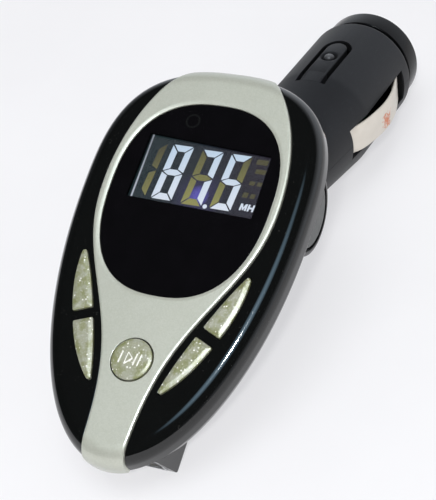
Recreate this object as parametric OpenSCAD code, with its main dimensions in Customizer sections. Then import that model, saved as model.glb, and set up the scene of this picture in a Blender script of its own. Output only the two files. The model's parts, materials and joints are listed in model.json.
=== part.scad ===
// Car FM transmitter: a flat egg-shaped head with a display and five keys, hinged at its
// back to a lighter-socket plug. It stands on a table on the corner of the socket housing
// under its narrow end and on the flange of the plug's nose.
// Head pieces are drawn with the face at height zero, the widest line of the egg at y = 0
// and the wide end towards +y. Plug pieces are drawn with the hinge at the origin and the
// plug's axis along +y.

/* [Head] */
// Half of the head's greatest width
head_half_w = 20.7; // [20:0.1:23]
// From the widest line to the wide end
head_up = 24.4; // [23.5:0.1:27]
// From the widest line to the narrow end
head_down = 45.1; // [44:0.1:50]
// From the face to the flat back
head_depth = 13; // [12.8:0.1:15]
// Height of the front shell's side
rim_depth = 4.2; // [3.6:0.1:4.6]
// Radius of the rounded edge round the face
edge_r = 2.8; // [2:0.1:3.4]
// Slope of the back, as the width lost on each side
back_inset = 8.5; // [7.5:0.1:9]
// Wall of both head shells
wall = 1.6; // [1.2:0.1:1.8]
// Thickness of the front shell's face
plate_t = 2.2; // [1.8:0.1:2.3]

/* [Face] */
// Width of the silver band beside the window
window_margin = 1.4; // [1:0.1:2]
// From the window's middle to its upper end
window_up = 16.1; // [15:0.1:17]
// From the window's middle to its lower end
window_down = 18.6; // [17.5:0.1:19.4]
// Middle of the window and the band above the widest line
window_y = 1.5; // [1:0.1:2.5]
// From the silver band's outer edge to the head's side at the widest line
band_margin = 4.7; // [4:0.1:4.9]
// Half length of the oval that the band's upper edges follow
band_up = 25.3; // [24.8:0.1:28]
// Half width of the band at the narrow end
band_neck_half = 3.6; // [3.2:0.1:5]
// Distance over which the band narrows
band_flare = 23; // [21:0.5:25]
// Thickness of the band
band_t = 1.3; // [1.1:0.1:1.4]
// How far the band and the window stand above the face
band_proud = 0.4; // [0.2:0.1:0.6]

/* [Keys] */
// Top tip of a pair of keys
key_top_y = -11.4; // [-12.4:0.1:-11]
// Bottom tip of a pair of keys
key_end_y = -32.5; // [-33:0.1:-31.5]
// Gap between the band and the keys' tips
key_band_gap = 1.5; // [1.3:0.1:1.9]
// Bow of the keys' outer edge
key_bow_out = 2.45; // [2.2:0.05:2.7]
// Bow of the keys' inner edge
key_bow_in = 1.1; // [0.9:0.05:1.2]
// Bar of shell between the two keys of a pair
key_split = 1.7; // [1.6:0.1:2.2]
// How far the keys stand above the face
key_proud = 0.5; // [0.45:0.05:1]
// Travel of every key
key_travel = 0.4; // [0.3:0.05:0.4]
// Radius of the round play key
play_r = 3.35; // [2.9:0.05:3.5]
// Place of the play key along the head
play_y = -28.2; // [-28.6:0.1:-27.6]
// Gap round every key
key_clear = 0.2; // [0.15:0.05:0.3]

/* [Display and boards] */
// From the display glass to the window's side
lcd_margin = 1.1; // [0.7:0.1:2]
// Height of the display glass
lcd_h = 15.8; // [14.5:0.1:16.2]
// Thickness of the display glass
lcd_t = 1.2; // [0.8:0.1:1.4]
// Middle of the display above the widest line
lcd_y = 4.6; // [4:0.1:5]
// Edge of the display glass that is covered on each side by the front shell
view_margin = 1.3; // [1.2:0.1:2.4]
// Height of the display's opening in the front shell
view_h = 12.4; // [11:0.2:13]
// Thickness of the main board
board_t = 1.2; // [1:0.1:1.6]
// Depth of the main board's upper face below the head's face
board_depth = 6.6; // [6.5:0.1:7]

/* [Memory stick socket] */
// Outside width of the socket
usb_w = 13.1; // [12.9:0.05:13.3]
// Outside height of the socket
usb_h = 5.9; // [5.7:0.05:6.2]
// Length of the socket
usb_len = 9.6; // [8.5:0.1:9.8]
// Sheet thickness of the socket
usb_sheet = 0.3; // [0.2:0.05:0.35]

/* [Hinge] */
// Angle between the head's long line and the plug
fold = 32.9; // [26:0.5:40]
// Hinge pin above the widest line
hinge_y = 11.2; // [10:0.1:12]
// Hinge pin below the face
hinge_depth = 23.7; // [23.2:0.1:26]
// Radius of the ears
ear_r = 7.9; // [7.7:0.1:9]
// Thickness of an ear
ear_t = 2.8; // [2.4:0.1:3.2]
// Half width of the plug's knuckle
knuckle_half_w = 7.9; // [7:0.1:8.2]
// Radius of the plug's knuckle
knuckle_r = 7.4; // [6.6:0.1:7.8]
// Radius of the hinge pin
pin_r = 2; // [1.6:0.1:2.4]
// Thickness of a friction washer
washer_t = 0.3; // [0.2:0.05:0.4]

/* [Plug] */
// Radius of the barrel
plug_r = 10.4; // [10.2:0.1:10.8]
// From the hinge to the barrel's end
plug_len = 51.8; // [51:0.2:55]
// Radius of the neck beside the knuckle
neck_r = 8.3; // [7.8:0.1:8.8]
// Length of the barrel at its full radius
barrel_len = 21.8; // [19.8:0.1:23.8]
// Wall of the barrel
plug_wall = 1.7; // [1.5:0.1:1.9]
// Half width of the spring tongue
tongue_half = 2; // [1.7:0.1:2.2]
// Slot round the spring tongue
tongue_gap = 0.95; // [0.8:0.05:1.1]
// From the root of the tongue to the end of its slot
tongue_len = 16; // [14.5:0.1:16.5]
// From the end of the tongue's slot to the barrel's end
tongue_margin = 8.3; // [7.4:0.1:9.2]

/* [Nose] */
// Radius of the nose cap's flange
flange_r = 10.5; // [10:0.1:10.9]
// Width of the flange
flange_w = 2.6; // [2:0.1:3.2]
// Length of the cone in front of the flange
nose_len = 6.6; // [6.2:0.1:8]
// Radius of the cone's small end
nose_r = 5.6; // [5.2:0.1:6.2]
// Radius of the tip contact
tip_r = 3.3; // [2.8:0.1:3.6]
// How far the tip contact stands out of the nose
tip_out = 4; // [3.8:0.1:5]
// Travel of the tip contact
tip_travel = 2.4; // [1.8:0.1:2.6]

/* [Fuse and spring] */
// Radius of the fuse's metal caps
fuse_r = 2.6; // [2.3:0.1:2.8]
// Length of the fuse
fuse_len = 20; // [18:0.5:20]
// Radius of the tip spring's wire
wire_r = 0.3; // [0.25:0.05:0.35]
// Turns of the tip spring
spring_turns = 5; // [4:1:5]
// Length of the tip spring
spring_len = 7.6; // [7.2:0.1:8.4]

/* [Side contacts] */
// Width of a side contact
leaf_w = 5.4; // [4.6:0.1:5.6]
// Thickness of a side contact
leaf_t = 0.4; // [0.3:0.05:0.5]
// How far a side contact stands out of the barrel
leaf_out = 1.1; // [1:0.1:1.5]
// Length of the side contact's slot
leaf_len = 24.7; // [23.5:0.1:26]
// From the side contact's slot to the barrel's end
leaf_margin = 3.8; // [3.6:0.1:5.2]
// Travel of a side contact
leaf_travel = 1; // [0.6:0.1:1]

/* [Hidden] */

// Cuts run past the faces that they open by this much
over = 1;
// Gap between pieces that are fixed to each other
seat = 0.05;
// Radial play of the pin, the tip contact and the screws
play = 0.06;
// Gap between a moving piece and its surroundings
room = 0.3;

// Places along an outline
outline_steps = 64;
round_steps = 6;
band_steps = 44;
key_steps = 9;
// Bends of the egg and the window: the higher, the squarer
egg_up_powers = [2.6, 3];
egg_down_powers = [2, 2];
window_powers = [2.45, 2.45];
// Steepness of the band's flare, and where its upper oval stops narrowing
flare_power = 2.35;
oval_stop_share = 0.93;

// Widths that follow the head's width
band_half_w = head_half_w - band_margin;
window_half_w = band_half_w - window_margin;
lcd_w = 2 * (window_half_w - lcd_margin);
view_w = lcd_w - 2 * view_margin;

// Layers of the head
band_floor = band_t - band_proud + seat;
lcd_top = plate_t + seat;
backlight_top = lcd_top + lcd_t + seat;
board_back = board_depth + board_t;
light_rim = 0.6;
flange_t = 0.8;
key_flange = 0.5;
stem_r = 1.3;
// Blunt tips of the keys, their flanges and their holes
key_tip = 1;
flange_tip = 0.6;
hole_tip = 0.4;
switch_w = 4.4;
switch_h = 1.6;
plunger_r = 0.9;
plunger_h = 0.5;
stem_end = board_depth - switch_h - plunger_h - key_travel - seat;

// Places of the head's screws, bosses and eye
screw_x = 5.8;
screw_y = 18.2;
low_screw_y = -21.2;
screw_r = 1;
screw_head_r = 1.9;
screw_head_h = 1.3;
boss_r = 2.4;
sink_depth = 3;
pilot_floor = 0.8;
screw_end_gap = 1.2;
eye_x = -3.9;
eye_y = 14.2;
eye_r = 1.1;
eye_gap = 0.5;
eye_w = 4;
eye_h = 2.8;

// Chips and crystal on the board's back, as places and sizes
control_at = [-5.5, 4];
control_size = [5.2, 9, 1.5];
radio_at = [5.8, 7.5];
radio_size = [3.9, 5, 1.4];
crystal_at = [5.8, -1];
crystal_r = 1.6;
crystal_half = 3.2;
crystal_h = 2.2;

// The socket housing under the narrow end
housing_proud = 0.3;
housing_drop = 0.15;
shell_back = head_depth - housing_proud;
housing_wall = 0.85;
housing_half = usb_w / 2 + housing_wall;
housing_set = 2.9;
housing_slant = 1;
housing_len = 16;
housing_front = -head_down + housing_set;
housing_end = housing_front + housing_slant;
housing_back = housing_end + housing_len;
usb_drop = 1.1;
usb_lip = 0.4;
usb_top = rim_depth + usb_drop;
usb_mouth = housing_end - usb_lip;

// Slope of the back as shares of its inset and its depth, and the board's outline inside it
back_inset_shares = [0.04, 0.09, 0.2, 0.4, 0.7, 1];
back_depth_shares = [0, 0.2, 0.43, 0.66, 0.87, 1];
back_slope = [for (i = [0 : len(back_depth_shares) - 1]) [back_depth_shares[i], back_inset_shares[i]]];
board_gap = 0.3;
board_share = (board_back - rim_depth - seat) / (shell_back - wall - rim_depth - seat);
board_inset = wall + back_inset * lookup(board_share, back_slope) + board_gap;

// Ears of the back shell
ear_in = knuckle_half_w + washer_t + 2 * seat;
ear_out = ear_in + ear_t;
cap_t = 0.9;
cap_gap = 0.6;
cap_rim = 0.9;
cap_r = ear_r - cap_rim - cap_gap;
web_flare = 3;
web_draw = 2.2;
web_low = hinge_y - ear_r - web_flare;
web_high = hinge_y + ear_r - web_draw;
web_root = (rim_depth + head_depth) / 2;
washer_r = knuckle_r * 0.7;

// Barrel, neck and nose along the plug
neck_len = plug_len - barrel_len;
tongue_end = plug_len - tongue_margin;
tongue_start = tongue_end - tongue_len;
leaf_end = plug_len - leaf_margin;
leaf_start = leaf_end - leaf_len;
neck_gap = 1.6;
neck_start = knuckle_r + neck_gap;
cavity_start = 14;
shoulder_r = 1.5;
thread_step = 0.8;
thread_r = plug_r - plug_wall - thread_step;
thread_len = 2.8;
groove_w = 0.9;
groove_depth = 1.7;
groove_r = plug_r - groove_depth;
flange_start = plug_len + groove_w;
flange_end = flange_start + flange_w;
flange_round = 0.5;
nose_end = flange_end + nose_len;
nose_wall = 1.4;
tip_flange = 1.3;
tip_flange_r = tip_r + tip_flange;
tip_flange_t = 1.4;
tip_end = nose_end + tip_out;
tip_back = nose_end - nose_wall - seat - tip_flange_t;
fuse_front = tip_back - seat;
fuse_back = fuse_front - fuse_len;
fuse_cap_len = 5;
spring_back = fuse_back - seat - spring_len;
spring_r = fuse_r - wire_r;
seat_t = 0.8;
seat_rim = 0.9;
seat_r = fuse_r + seat_rim;
neck_screw_in = 1.8;
neck_screw_y = neck_start + neck_screw_in;
bump_r = 1.25;
bump_back = 6.5;
leaf_tuck = 0.1;

// Power board in the lower half of the barrel
power_n = 5;
power_t = 1;
power_half = 4.7;
power_gap = 1;
power_start = cavity_start + power_gap;
power_end = tongue_end;
part_r = 2.1;
part_x = 2.4;
part_space = spring_back - seat_t - power_start;
inductor_share = 0.27;
capacitor_shares = [0.07, 0.675];
regulator_back = 10.5;
regulator_w = 4.8;
regulator_l = 4;
regulator_h = 1.5;

// Angle of the head to the table, from its two points of rest
rest_a = hinge_y - housing_end
    + (flange_end - flange_round) * cos(fold) - (flange_r - flange_round) * sin(fold);
rest_b = hinge_depth - head_depth
    + (flange_end - flange_round) * sin(fold) + (flange_r - flange_round) * cos(fold);
tilt = atan2(rest_b, rest_a) + asin(flange_round / norm([rest_a, rest_b]));
droop = fold - tilt;
hinge_z = (hinge_y - housing_end) * sin(tilt) - (hinge_depth - head_depth) * cos(tilt);
near_y = -(head_down - edge_r + hinge_y) * cos(tilt) - (hinge_depth - edge_r) * sin(tilt)
    - edge_r - band_proud;
far_y = (tip_end - tip_r) * cos(droop) + tip_r;
hinge_at_y = -(near_y + far_y) / 2;

module head_place() {
    translate([0, hinge_at_y, hinge_z])
        rotate([tilt, 0, 0])
            translate([0, -hinge_y, hinge_depth])
                children();
}

module plug_place() {
    translate([0, hinge_at_y, hinge_z])
        rotate([-droop, 0, 0])
            children();
}

// Outlines of the egg and the window: four quarter ovals with their own bends
function bent(c, power) = sign(c) * pow(abs(c), 2 / power);
function oval(a, w, len, powers) = [w * bent(cos(a), powers[0]), len * bent(sin(a), powers[1])];

function egg_point(i) = let (a = 360 * i / outline_steps)
    sin(a) >= 0 ? oval(a, head_half_w, head_up, egg_up_powers)
    : oval(a, head_half_w, head_down, egg_down_powers);

function window_point(i) = let (a = 360 * i / outline_steps)
    [0, window_y] + oval(a, window_half_w, sin(a) >= 0 ? window_up : window_down, window_powers);

// A point moved inwards, square to the line between its neighbours
function moved_in(before, at, after, inset) = let (d = after - before)
    at + inset * [-d[1], d[0]] / norm(d);

function egg_ring(inset) = [for (i = [0 : outline_steps - 1])
    moved_in(egg_point(i - 1), egg_point(i), egg_point(i + 1), inset)];

function window_ring(inset) = [for (i = [0 : outline_steps - 1])
    moved_in(window_point(i - 1), window_point(i), window_point(i + 1), inset)];

// Half width of the silver band: an oval beside the window, then a flare to the neck
function band_half(y) = let (
        up = min((y - window_y) / band_up, oval_stop_share),
        down = max(window_y - y, 0)
    )
    y >= window_y ? band_half_w * sqrt(1 - up * up)
    : band_neck_half + (band_half_w - band_neck_half) * exp(-pow(down / band_flare, flare_power));

band_run = head_down + head_up + 2 * over;
function band_side(extra) = [for (i = [0 : band_steps])
    let (y = -head_down - over + band_run * i / band_steps) [band_half(y) + extra, y]];

module band_outline(extra) {
    side = band_side(extra);
    polygon(concat(side, [for (i = [band_steps : -1 : 0]) [-side[i][0], side[i][1]]]));
}

// A solid that follows the egg, as levels of [inset, height] from the top down
module egg_levels(levels) {
    points = [for (l = levels) for (p = egg_ring(l[0])) [p[0], p[1], l[1]]];
    n = outline_steps;
    last = len(levels) - 1;
    sides = [for (l = [0 : last - 1]) for (i = [0 : n - 1])
        [l * n + i, l * n + (i + 1) % n, (l + 1) * n + (i + 1) % n, (l + 1) * n + i]];
    top = [for (i = [n - 1 : -1 : 0]) i];
    bottom = [for (i = [0 : n - 1]) last * n + i];
    polyhedron(points, concat([top], sides, [bottom]));
}

// The front of the egg with its rounded edge, grown by extra on every side
function front_levels(extra, bottom) = concat(
    [for (i = [0 : round_steps]) let (a = 90 * i / round_steps)
        [edge_r - (edge_r + extra) * sin(a), -edge_r + (edge_r + extra) * cos(a)]],
    [[-extra, bottom]]);

// The back of the egg, from the rim down to the flat back, shrunk by inward
function back_levels(inward) = [for (i = [0 : len(back_inset_shares) - 1])
    [back_inset * back_inset_shares[i] + inward,
     -rim_depth - seat - (shell_back - inward - rim_depth - seat) * back_depth_shares[i]]];

// The sloping back runs on past the flat back, which cuts it off; raise opens it at the rim
module back_solid(inward, raise) {
    rim = [back_inset * back_inset_shares[0] + inward, -rim_depth - seat + raise];
    tail = [back_inset + inward + over, -shell_back + inward - over];
    intersection() {
        egg_levels(concat(raise > 0 ? [rim] : [], back_levels(inward), [tail]));
        block(0, 0, 0, shell_back - inward, 2 * head_half_w + over, 2 * head_down + over);
    }
}

// Keys: both keys of a pair lie in one crescent along a chord, halved across its middle
key_top = [band_half(key_top_y) + key_band_gap, key_top_y];
key_end = [band_half(key_end_y) + key_band_gap, key_end_y];
key_at_share = 0.29;
chord = norm(key_end - key_top);
along = (key_end - key_top) / chord;
across = [-along[1], along[0]];
key_at = key_at_share * chord;

function key_edge(s, bow, clear, side) = let (t = s / chord)
    key_top + along * s + across * side * (bow * 4 * t * (1 - t) - clear);

function key_outline(s0, s1, clear) = concat(
    [for (i = [0 : key_steps]) key_edge(s0 + (s1 - s0) * i / key_steps, key_bow_out, clear, 1)],
    [for (i = [key_steps : -1 : 0]) key_edge(s0 + (s1 - s0) * i / key_steps, key_bow_in, clear, -1)]);

module key_shape(upper, clear, tip_trim) {
    s0 = upper ? tip_trim : (chord + key_split) / 2 + clear;
    s1 = upper ? (chord - key_split) / 2 - clear : chord - tip_trim;
    polygon(key_outline(s0, s1, clear));
}

function key_centre(upper) = key_top + along * (upper ? key_at : chord - key_at)
    + across * (key_bow_out - key_bow_in) * 2 * key_at_share * (1 - key_at_share);

module mirrored_to(side) {
    if (side < 0) mirror([1, 0, 0]) children();
    else children();
}

module plate(top, bottom) {
    translate([0, 0, -bottom]) linear_extrude(bottom - top) children();
}

module rod(x, y, top, bottom, r, $fn = 48) {
    translate([x, y, -bottom]) cylinder(h = bottom - top, r = r);
}

module block(x, y, top, bottom, w, l) {
    translate([x - w / 2, y - l / 2, -bottom]) cube([w, l, bottom - top]);
}

module head_screw_places() {
    for (side = [-1, 1]) translate([side * screw_x, screw_y, 0]) children();
    translate([0, low_screw_y, 0]) children();
}

// Head pieces

module front_shell() {
    color([0.03, 0.03, 0.035]) head_place() difference() {
        union() {
            difference() {
                egg_levels(front_levels(0, -rim_depth));
                egg_levels([[wall, -plate_t], [wall, -rim_depth - over]]);
            }
            head_screw_places() rod(0, 0, plate_t - seat, board_depth - seat, boss_r);
        }
        // Channel for the band and the window
        difference() {
            plate(-over, rim_depth + over) band_outline(seat);
            egg_levels(front_levels(-band_floor, -rim_depth - 2 * over));
        }
        block(0, lcd_y, -over, board_depth, view_w, view_h);
        rod(eye_x, eye_y, -over, plate_t + over, eye_r + eye_gap);
        rod(0, play_y, -over, plate_t + over, play_r + key_clear);
        for (side = [-1, 1]) mirrored_to(side) {
            plate(-over, plate_t + over) key_shape(true, 0, hole_tip);
            plate(-over, plate_t + over) key_shape(false, 0, hole_tip);
        }
        head_screw_places() rod(0, 0, plate_t + pilot_floor, board_depth + over, screw_r + play);
    }
}

module silver_band() {
    color([0.78, 0.79, 0.74]) head_place() difference() {
        intersection() {
            plate(-over, rim_depth) band_outline(0);
            egg_levels(front_levels(band_proud, -rim_depth));
        }
        egg_levels(front_levels(-band_floor + seat, -rim_depth - over));
        plate(-over, rim_depth) polygon(window_ring(-seat));
        rod(0, play_y, -over, rim_depth, play_r + key_clear);
    }
}

module display_window() {
    color([0.02, 0.02, 0.03]) head_place()
        plate(-band_proud, band_floor - seat) polygon(window_ring(0));
}

module display_glass() {
    color([0.13, 0.17, 0.24]) head_place()
        block(0, lcd_y, lcd_top, lcd_top + lcd_t, lcd_w, lcd_h);
}

module backlight() {
    color([0.93, 0.94, 0.96]) head_place() difference() {
        block(0, lcd_y, backlight_top, board_depth - seat, lcd_w, lcd_h);
        block(0, lcd_y, backlight_top - over, backlight_top + light_rim, view_w, view_h);
    }
}

module key(side, upper) {
    c = key_centre(upper);
    color([0.72, 0.74, 0.66]) head_place() mirrored_to(side) {
        plate(-key_proud, plate_t + key_travel + seat) key_shape(upper, key_clear, key_tip);
        plate(plate_t + seat, plate_t + seat + flange_t) key_shape(upper, -key_flange, flange_tip);
        rod(c[0], c[1], plate_t + flange_t, stem_end, stem_r);
    }
}

module key_upper_left() { key(-1, true); }
module key_upper_right() { key(1, true); }
module key_lower_left() { key(-1, false); }
module key_lower_right() { key(1, false); }

module play_key() {
    color([0.72, 0.74, 0.66]) head_place() {
        rod(0, play_y, -band_proud - key_proud, plate_t + seat + flange_t, play_r, $fn = 72);
        rod(0, play_y, plate_t + seat, plate_t + seat + flange_t,
            play_r + key_flange + key_clear, $fn = 72);
        rod(0, play_y, plate_t + flange_t, stem_end, stem_r);
    }
}

module main_board() {
    color([0.05, 0.3, 0.14]) head_place() difference() {
        plate(board_depth, board_back) polygon(egg_ring(board_inset));
        block(0, -head_down, board_depth - over, board_back + over, usb_w + 2 * room,
              2 * (head_down + usb_mouth + usb_len + room));
        head_screw_places() rod(0, 0, board_depth - over, board_back + over, screw_r + room);
    }
}

// A small push switch: a square can with a round plunger
module switch(x, y) {
    color([0.55, 0.56, 0.58]) head_place() {
        block(x, y, board_depth - switch_h, board_depth - seat, switch_w, switch_w);
        rod(x, y, board_depth - switch_h - plunger_h, board_depth - switch_h + seat, plunger_r);
    }
}

module switch_upper_left() { c = key_centre(true); switch(-c[0], c[1]); }
module switch_upper_right() { c = key_centre(true); switch(c[0], c[1]); }
module switch_lower_left() { c = key_centre(false); switch(-c[0], c[1]); }
module switch_lower_right() { c = key_centre(false); switch(c[0], c[1]); }
module switch_play() { switch(0, play_y); }

module infrared_eye() {
    color([0.08, 0.03, 0.05]) head_place() {
        block(eye_x, eye_y, plate_t + seat + eye_r, board_depth - seat, eye_w, eye_h);
        translate([eye_x, eye_y, -plate_t - seat - eye_r]) sphere(r = eye_r, $fn = 32);
    }
}

// A flat chip with two rows of legs on the board's back
module chip(at, size) {
    legs = 6;
    w = size[0];
    h = size[2];
    pitch = size[1] / legs;
    head_place() {
        color([0.07, 0.07, 0.08]) block(at[0], at[1], board_back + h / 5, board_back + h, w, size[1]);
        color([0.75, 0.75, 0.76])
            for (side = [-1, 1]) for (i = [0 : legs - 1])
                block(at[0] + side * w * 0.55, at[1] + (i - (legs - 1) / 2) * pitch,
                      board_back + seat, board_back + h / 2, w / 5, pitch / 2);
    }
}

module control_chip() { chip(control_at, control_size); }
module radio_chip() { chip(radio_at, radio_size); }

module crystal() {
    color([0.8, 0.8, 0.82]) head_place() {
        for (end = [-1, 1])
            rod(crystal_at[0], crystal_at[1] + end * crystal_half,
                board_back + seat, board_back + crystal_h, crystal_r);
        block(crystal_at[0], crystal_at[1], board_back + seat, board_back + crystal_h,
              2 * crystal_r, 2 * crystal_half);
    }
}

module usb_socket() {
    color([0.82, 0.83, 0.85]) head_place() difference() {
        block(0, usb_mouth + usb_len / 2, usb_top, usb_top + usb_h, usb_w, usb_len);
        block(0, usb_mouth + (usb_len - usb_sheet - over) / 2,
              usb_top + usb_sheet, usb_top + usb_h - usb_sheet,
              usb_w - 2 * usb_sheet, usb_len - usb_sheet + over);
    }
}

module usb_blade() {
    blade_t = usb_h / 3.3;
    blade_top = usb_top + usb_sheet + seat;
    back = usb_mouth + usb_len - usb_sheet - seat;
    color([0.9, 0.9, 0.9]) head_place() {
        translate([0, back - usb_len / 8, 0])
            block(0, 0, blade_top, usb_top + usb_h - usb_sheet - seat,
                  usb_w - 2 * usb_sheet - 2 * seat, usb_len / 4);
        block(0, (back + usb_mouth + usb_len / 10) / 2, blade_top, blade_top + blade_t,
              usb_w * 0.84, back - usb_mouth - usb_len / 10);
    }
}

// Outline of an ear with its web down to the shell, seen along the pin
module ear_outline() {
    translate([hinge_y, -hinge_depth]) circle(r = ear_r, $fn = 96);
    polygon([
        [web_low, -web_root], [hinge_y - ear_r, -hinge_depth],
        [hinge_y + ear_r, -hinge_depth], [web_high, -web_root]
    ]);
}

// Things drawn in the head's y-z plane and given a width along the pin
module across_head(from, to) {
    translate([from, 0, 0]) rotate([90, 0, 90]) linear_extrude(to - from) children();
}

module housing_outline() {
    polygon([
        [housing_front, -rim_depth - housing_drop], [housing_end, -head_depth],
        [housing_back, -head_depth], [housing_back, -rim_depth - housing_drop]
    ]);
}

module back_shell() {
    color([0.05, 0.05, 0.055]) head_place() difference() {
        union() {
            difference() {
                union() {
                    back_solid(0, 0);
                    across_head(-housing_half, housing_half) housing_outline();
                    for (side = [-1, 1]) mirrored_to(side) across_head(ear_in, ear_out) ear_outline();
                }
                back_solid(wall, over);
                block(0, (housing_end + wall + housing_back) / 2, rim_depth - over, usb_top + usb_h + seat,
                      usb_w + 2 * seat, housing_back - housing_end - wall);
            }
            intersection() {
                back_solid(0, 0);
                head_screw_places() rod(0, 0, board_back + seat, shell_back - wall / 2, boss_r);
            }
        }
        // Mouth of the socket
        block(0, housing_end, usb_top - seat, usb_top + usb_h + seat,
              usb_w + 2 * seat, 2 * wall + 2 * over);
        head_screw_places() {
            rod(0, 0, board_back - over, head_depth, screw_r + play);
            rod(0, 0, shell_back - sink_depth, head_depth + over, screw_head_r + 2 * play);
        }
        translate([-ear_out - over, hinge_y, -hinge_depth]) rotate([0, 90, 0])
            cylinder(h = 2 * (ear_out + over), r = pin_r + seat, $fn = 64);
        for (side = [-1, 1]) mirrored_to(side)
            translate([ear_out - cap_t, hinge_y, -hinge_depth]) rotate([0, 90, 0])
                cylinder(h = cap_t + over, r = cap_r + cap_gap, $fn = 96);
    }
}

// A screw seen from its head: dished head, cross recess and shank
module screw(shank) {
    recess_w = screw_head_r / 3.4;
    difference() {
        union() {
            cylinder(h = screw_head_h, r = screw_head_r, $fn = 48);
            translate([0, 0, -shank]) cylinder(h = shank, r = screw_r, $fn = 32);
        }
        for (turn = [0, 90]) rotate(turn) translate([-screw_head_r * 0.6, -recess_w / 2, screw_head_h / 2])
            cube([screw_head_r * 1.2, recess_w, screw_head_h]);
    }
}

module head_screw(x, y) {
    color([0.45, 0.46, 0.48]) head_place()
        translate([x, y, -shell_back + sink_depth - seat]) mirror([0, 0, 1])
            screw(shell_back - sink_depth - plate_t - pilot_floor - screw_end_gap);
}

module screw_left() { head_screw(-screw_x, screw_y); }
module screw_right() { head_screw(screw_x, screw_y); }
module screw_low() { head_screw(0, low_screw_y); }

module hinge_pin() {
    half = ear_out - cap_t - seat;
    color([0.7, 0.71, 0.72]) head_place()
        translate([-half, hinge_y, -hinge_depth]) rotate([0, 90, 0])
            cylinder(h = 2 * half, r = pin_r, $fn = 64);
}

module ear_cap(side) {
    color([0.33, 0.34, 0.35]) head_place() mirrored_to(side)
        translate([ear_out - cap_t + seat, hinge_y, -hinge_depth]) rotate([0, 90, 0])
            cylinder(h = cap_t, r = cap_r, $fn = 96);
}

module ear_cap_left() { ear_cap(-1); }
module ear_cap_right() { ear_cap(1); }

// Friction washers ride on the pin between the knuckle and the ears
module washer(side) {
    color([0.75, 0.75, 0.77]) plug_place() mirrored_to(side)
        translate([knuckle_half_w + seat, 0, 0]) rotate([0, 90, 0]) difference() {
            cylinder(h = washer_t, r = washer_r, $fn = 64);
            translate([0, 0, -over]) cylinder(h = washer_t + 2 * over, r = pin_r + play, $fn = 64);
        }
}

module washer_left() { washer(-1); }
module washer_right() { washer(1); }

// Plug pieces

// A solid turned about the plug's axis, from a profile of [radius, place along the plug]
module turned() {
    rotate([-90, 0, 0]) rotate_extrude($fn = 96) children();
}

module plug_rod(from, to, r, $fn = 64) {
    rotate([-90, 0, 0]) translate([0, 0, from]) cylinder(h = to - from, r = r);
}

module plug_block(x0, x1, y0, y1, z0, z1) {
    translate([x0, y0, z0]) cube([x1 - x0, y1 - y0, z1 - z0]);
}

module barrel_profile() {
    difference() {
        union() {
            polygon([
                [0, 0], [neck_r, 0], [neck_r, neck_start], [plug_r, neck_len],
                [plug_r, plug_len - shoulder_r], [plug_r - shoulder_r, plug_len], [0, plug_len]
            ]);
            translate([plug_r - shoulder_r, plug_len - shoulder_r]) circle(r = shoulder_r, $fn = 64);
        }
        polygon([
            [-over, cavity_start], [neck_r - plug_wall + (plug_r - neck_r) / 4, cavity_start],
            [plug_r - plug_wall, neck_len], [plug_r - plug_wall, plug_len - thread_len - plug_wall / 2],
            [thread_r, plug_len - thread_len], [thread_r, plug_len + over], [-over, plug_len + over]
        ]);
    }
}

// The slot that frees the tongue, seen from above the plug
module tongue_outline(half, start, end) {
    translate([-half, start]) square([2 * half, end - half - start]);
    translate([0, end - half]) circle(r = half, $fn = 64);
}

module plug_body() {
    difference() {
        union() {
            intersection() {
                turned() barrel_profile();
                union() {
                    plug_block(-knuckle_half_w, knuckle_half_w, 0, neck_start, -plug_r, plug_r);
                    plug_block(-plug_r, plug_r, neck_start, plug_len + over, -plug_r, plug_r);
                }
            }
            translate([-knuckle_half_w, 0, 0]) rotate([0, 90, 0])
                cylinder(h = 2 * knuckle_half_w, r = knuckle_r, $fn = 96);
        }
        translate([-plug_r, 0, 0]) rotate([0, 90, 0])
            cylinder(h = 2 * plug_r, r = pin_r + play, $fn = 64);
        for (side = [-1, 1]) mirrored_to(side)
            plug_block(thread_r - leaf_travel - over, plug_r + over, leaf_start, leaf_end,
                       -leaf_w / 2 - room, leaf_w / 2 + room);
    }
}

module plug_top() {
    color([0.2, 0.21, 0.22]) plug_place() difference() {
        intersection() {
            plug_body();
            plug_block(-plug_r - over, plug_r + over, -plug_r, plug_len + over, 0, plug_r + over);
        }
        linear_extrude(plug_r + over) tongue_outline(tongue_half + tongue_gap, tongue_start, tongue_end);
        translate([0, neck_screw_y, -over]) cylinder(h = neck_r / 2 + over, r = screw_r + play, $fn = 32);
    }
}

module plug_bottom() {
    color([0.2, 0.21, 0.22]) plug_place() difference() {
        intersection() {
            plug_body();
            plug_block(-plug_r - over, plug_r + over, -plug_r, plug_len + over, -plug_r - over, -seat);
        }
        translate([0, neck_screw_y, -plug_r]) cylinder(h = plug_r + over, r = screw_r + play, $fn = 32);
        translate([0, neck_screw_y, -plug_r - over])
            cylinder(h = plug_r + over - neck_r + sink_depth, r = screw_head_r + 2 * play, $fn = 48);
    }
}

module neck_screw() {
    color([0.45, 0.46, 0.48]) plug_place()
        translate([0, neck_screw_y, -neck_r + sink_depth - seat]) mirror([0, 0, 1]) screw(neck_r * 0.85);
}

module spring_tongue() {
    color([0.17, 0.18, 0.19]) plug_place() {
        intersection() {
            difference() {
                plug_rod(tongue_start, tongue_end, plug_r - seat, $fn = 96);
                plug_rod(tongue_start - over, tongue_end + over, plug_r - plug_wall, $fn = 96);
            }
            linear_extrude(plug_r + over)
                tongue_outline(tongue_half, tongue_start + seat, tongue_end - tongue_gap);
        }
        translate([0, tongue_end - bump_back, plug_r - bump_r / 2]) sphere(r = bump_r, $fn = 48);
    }
}

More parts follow.
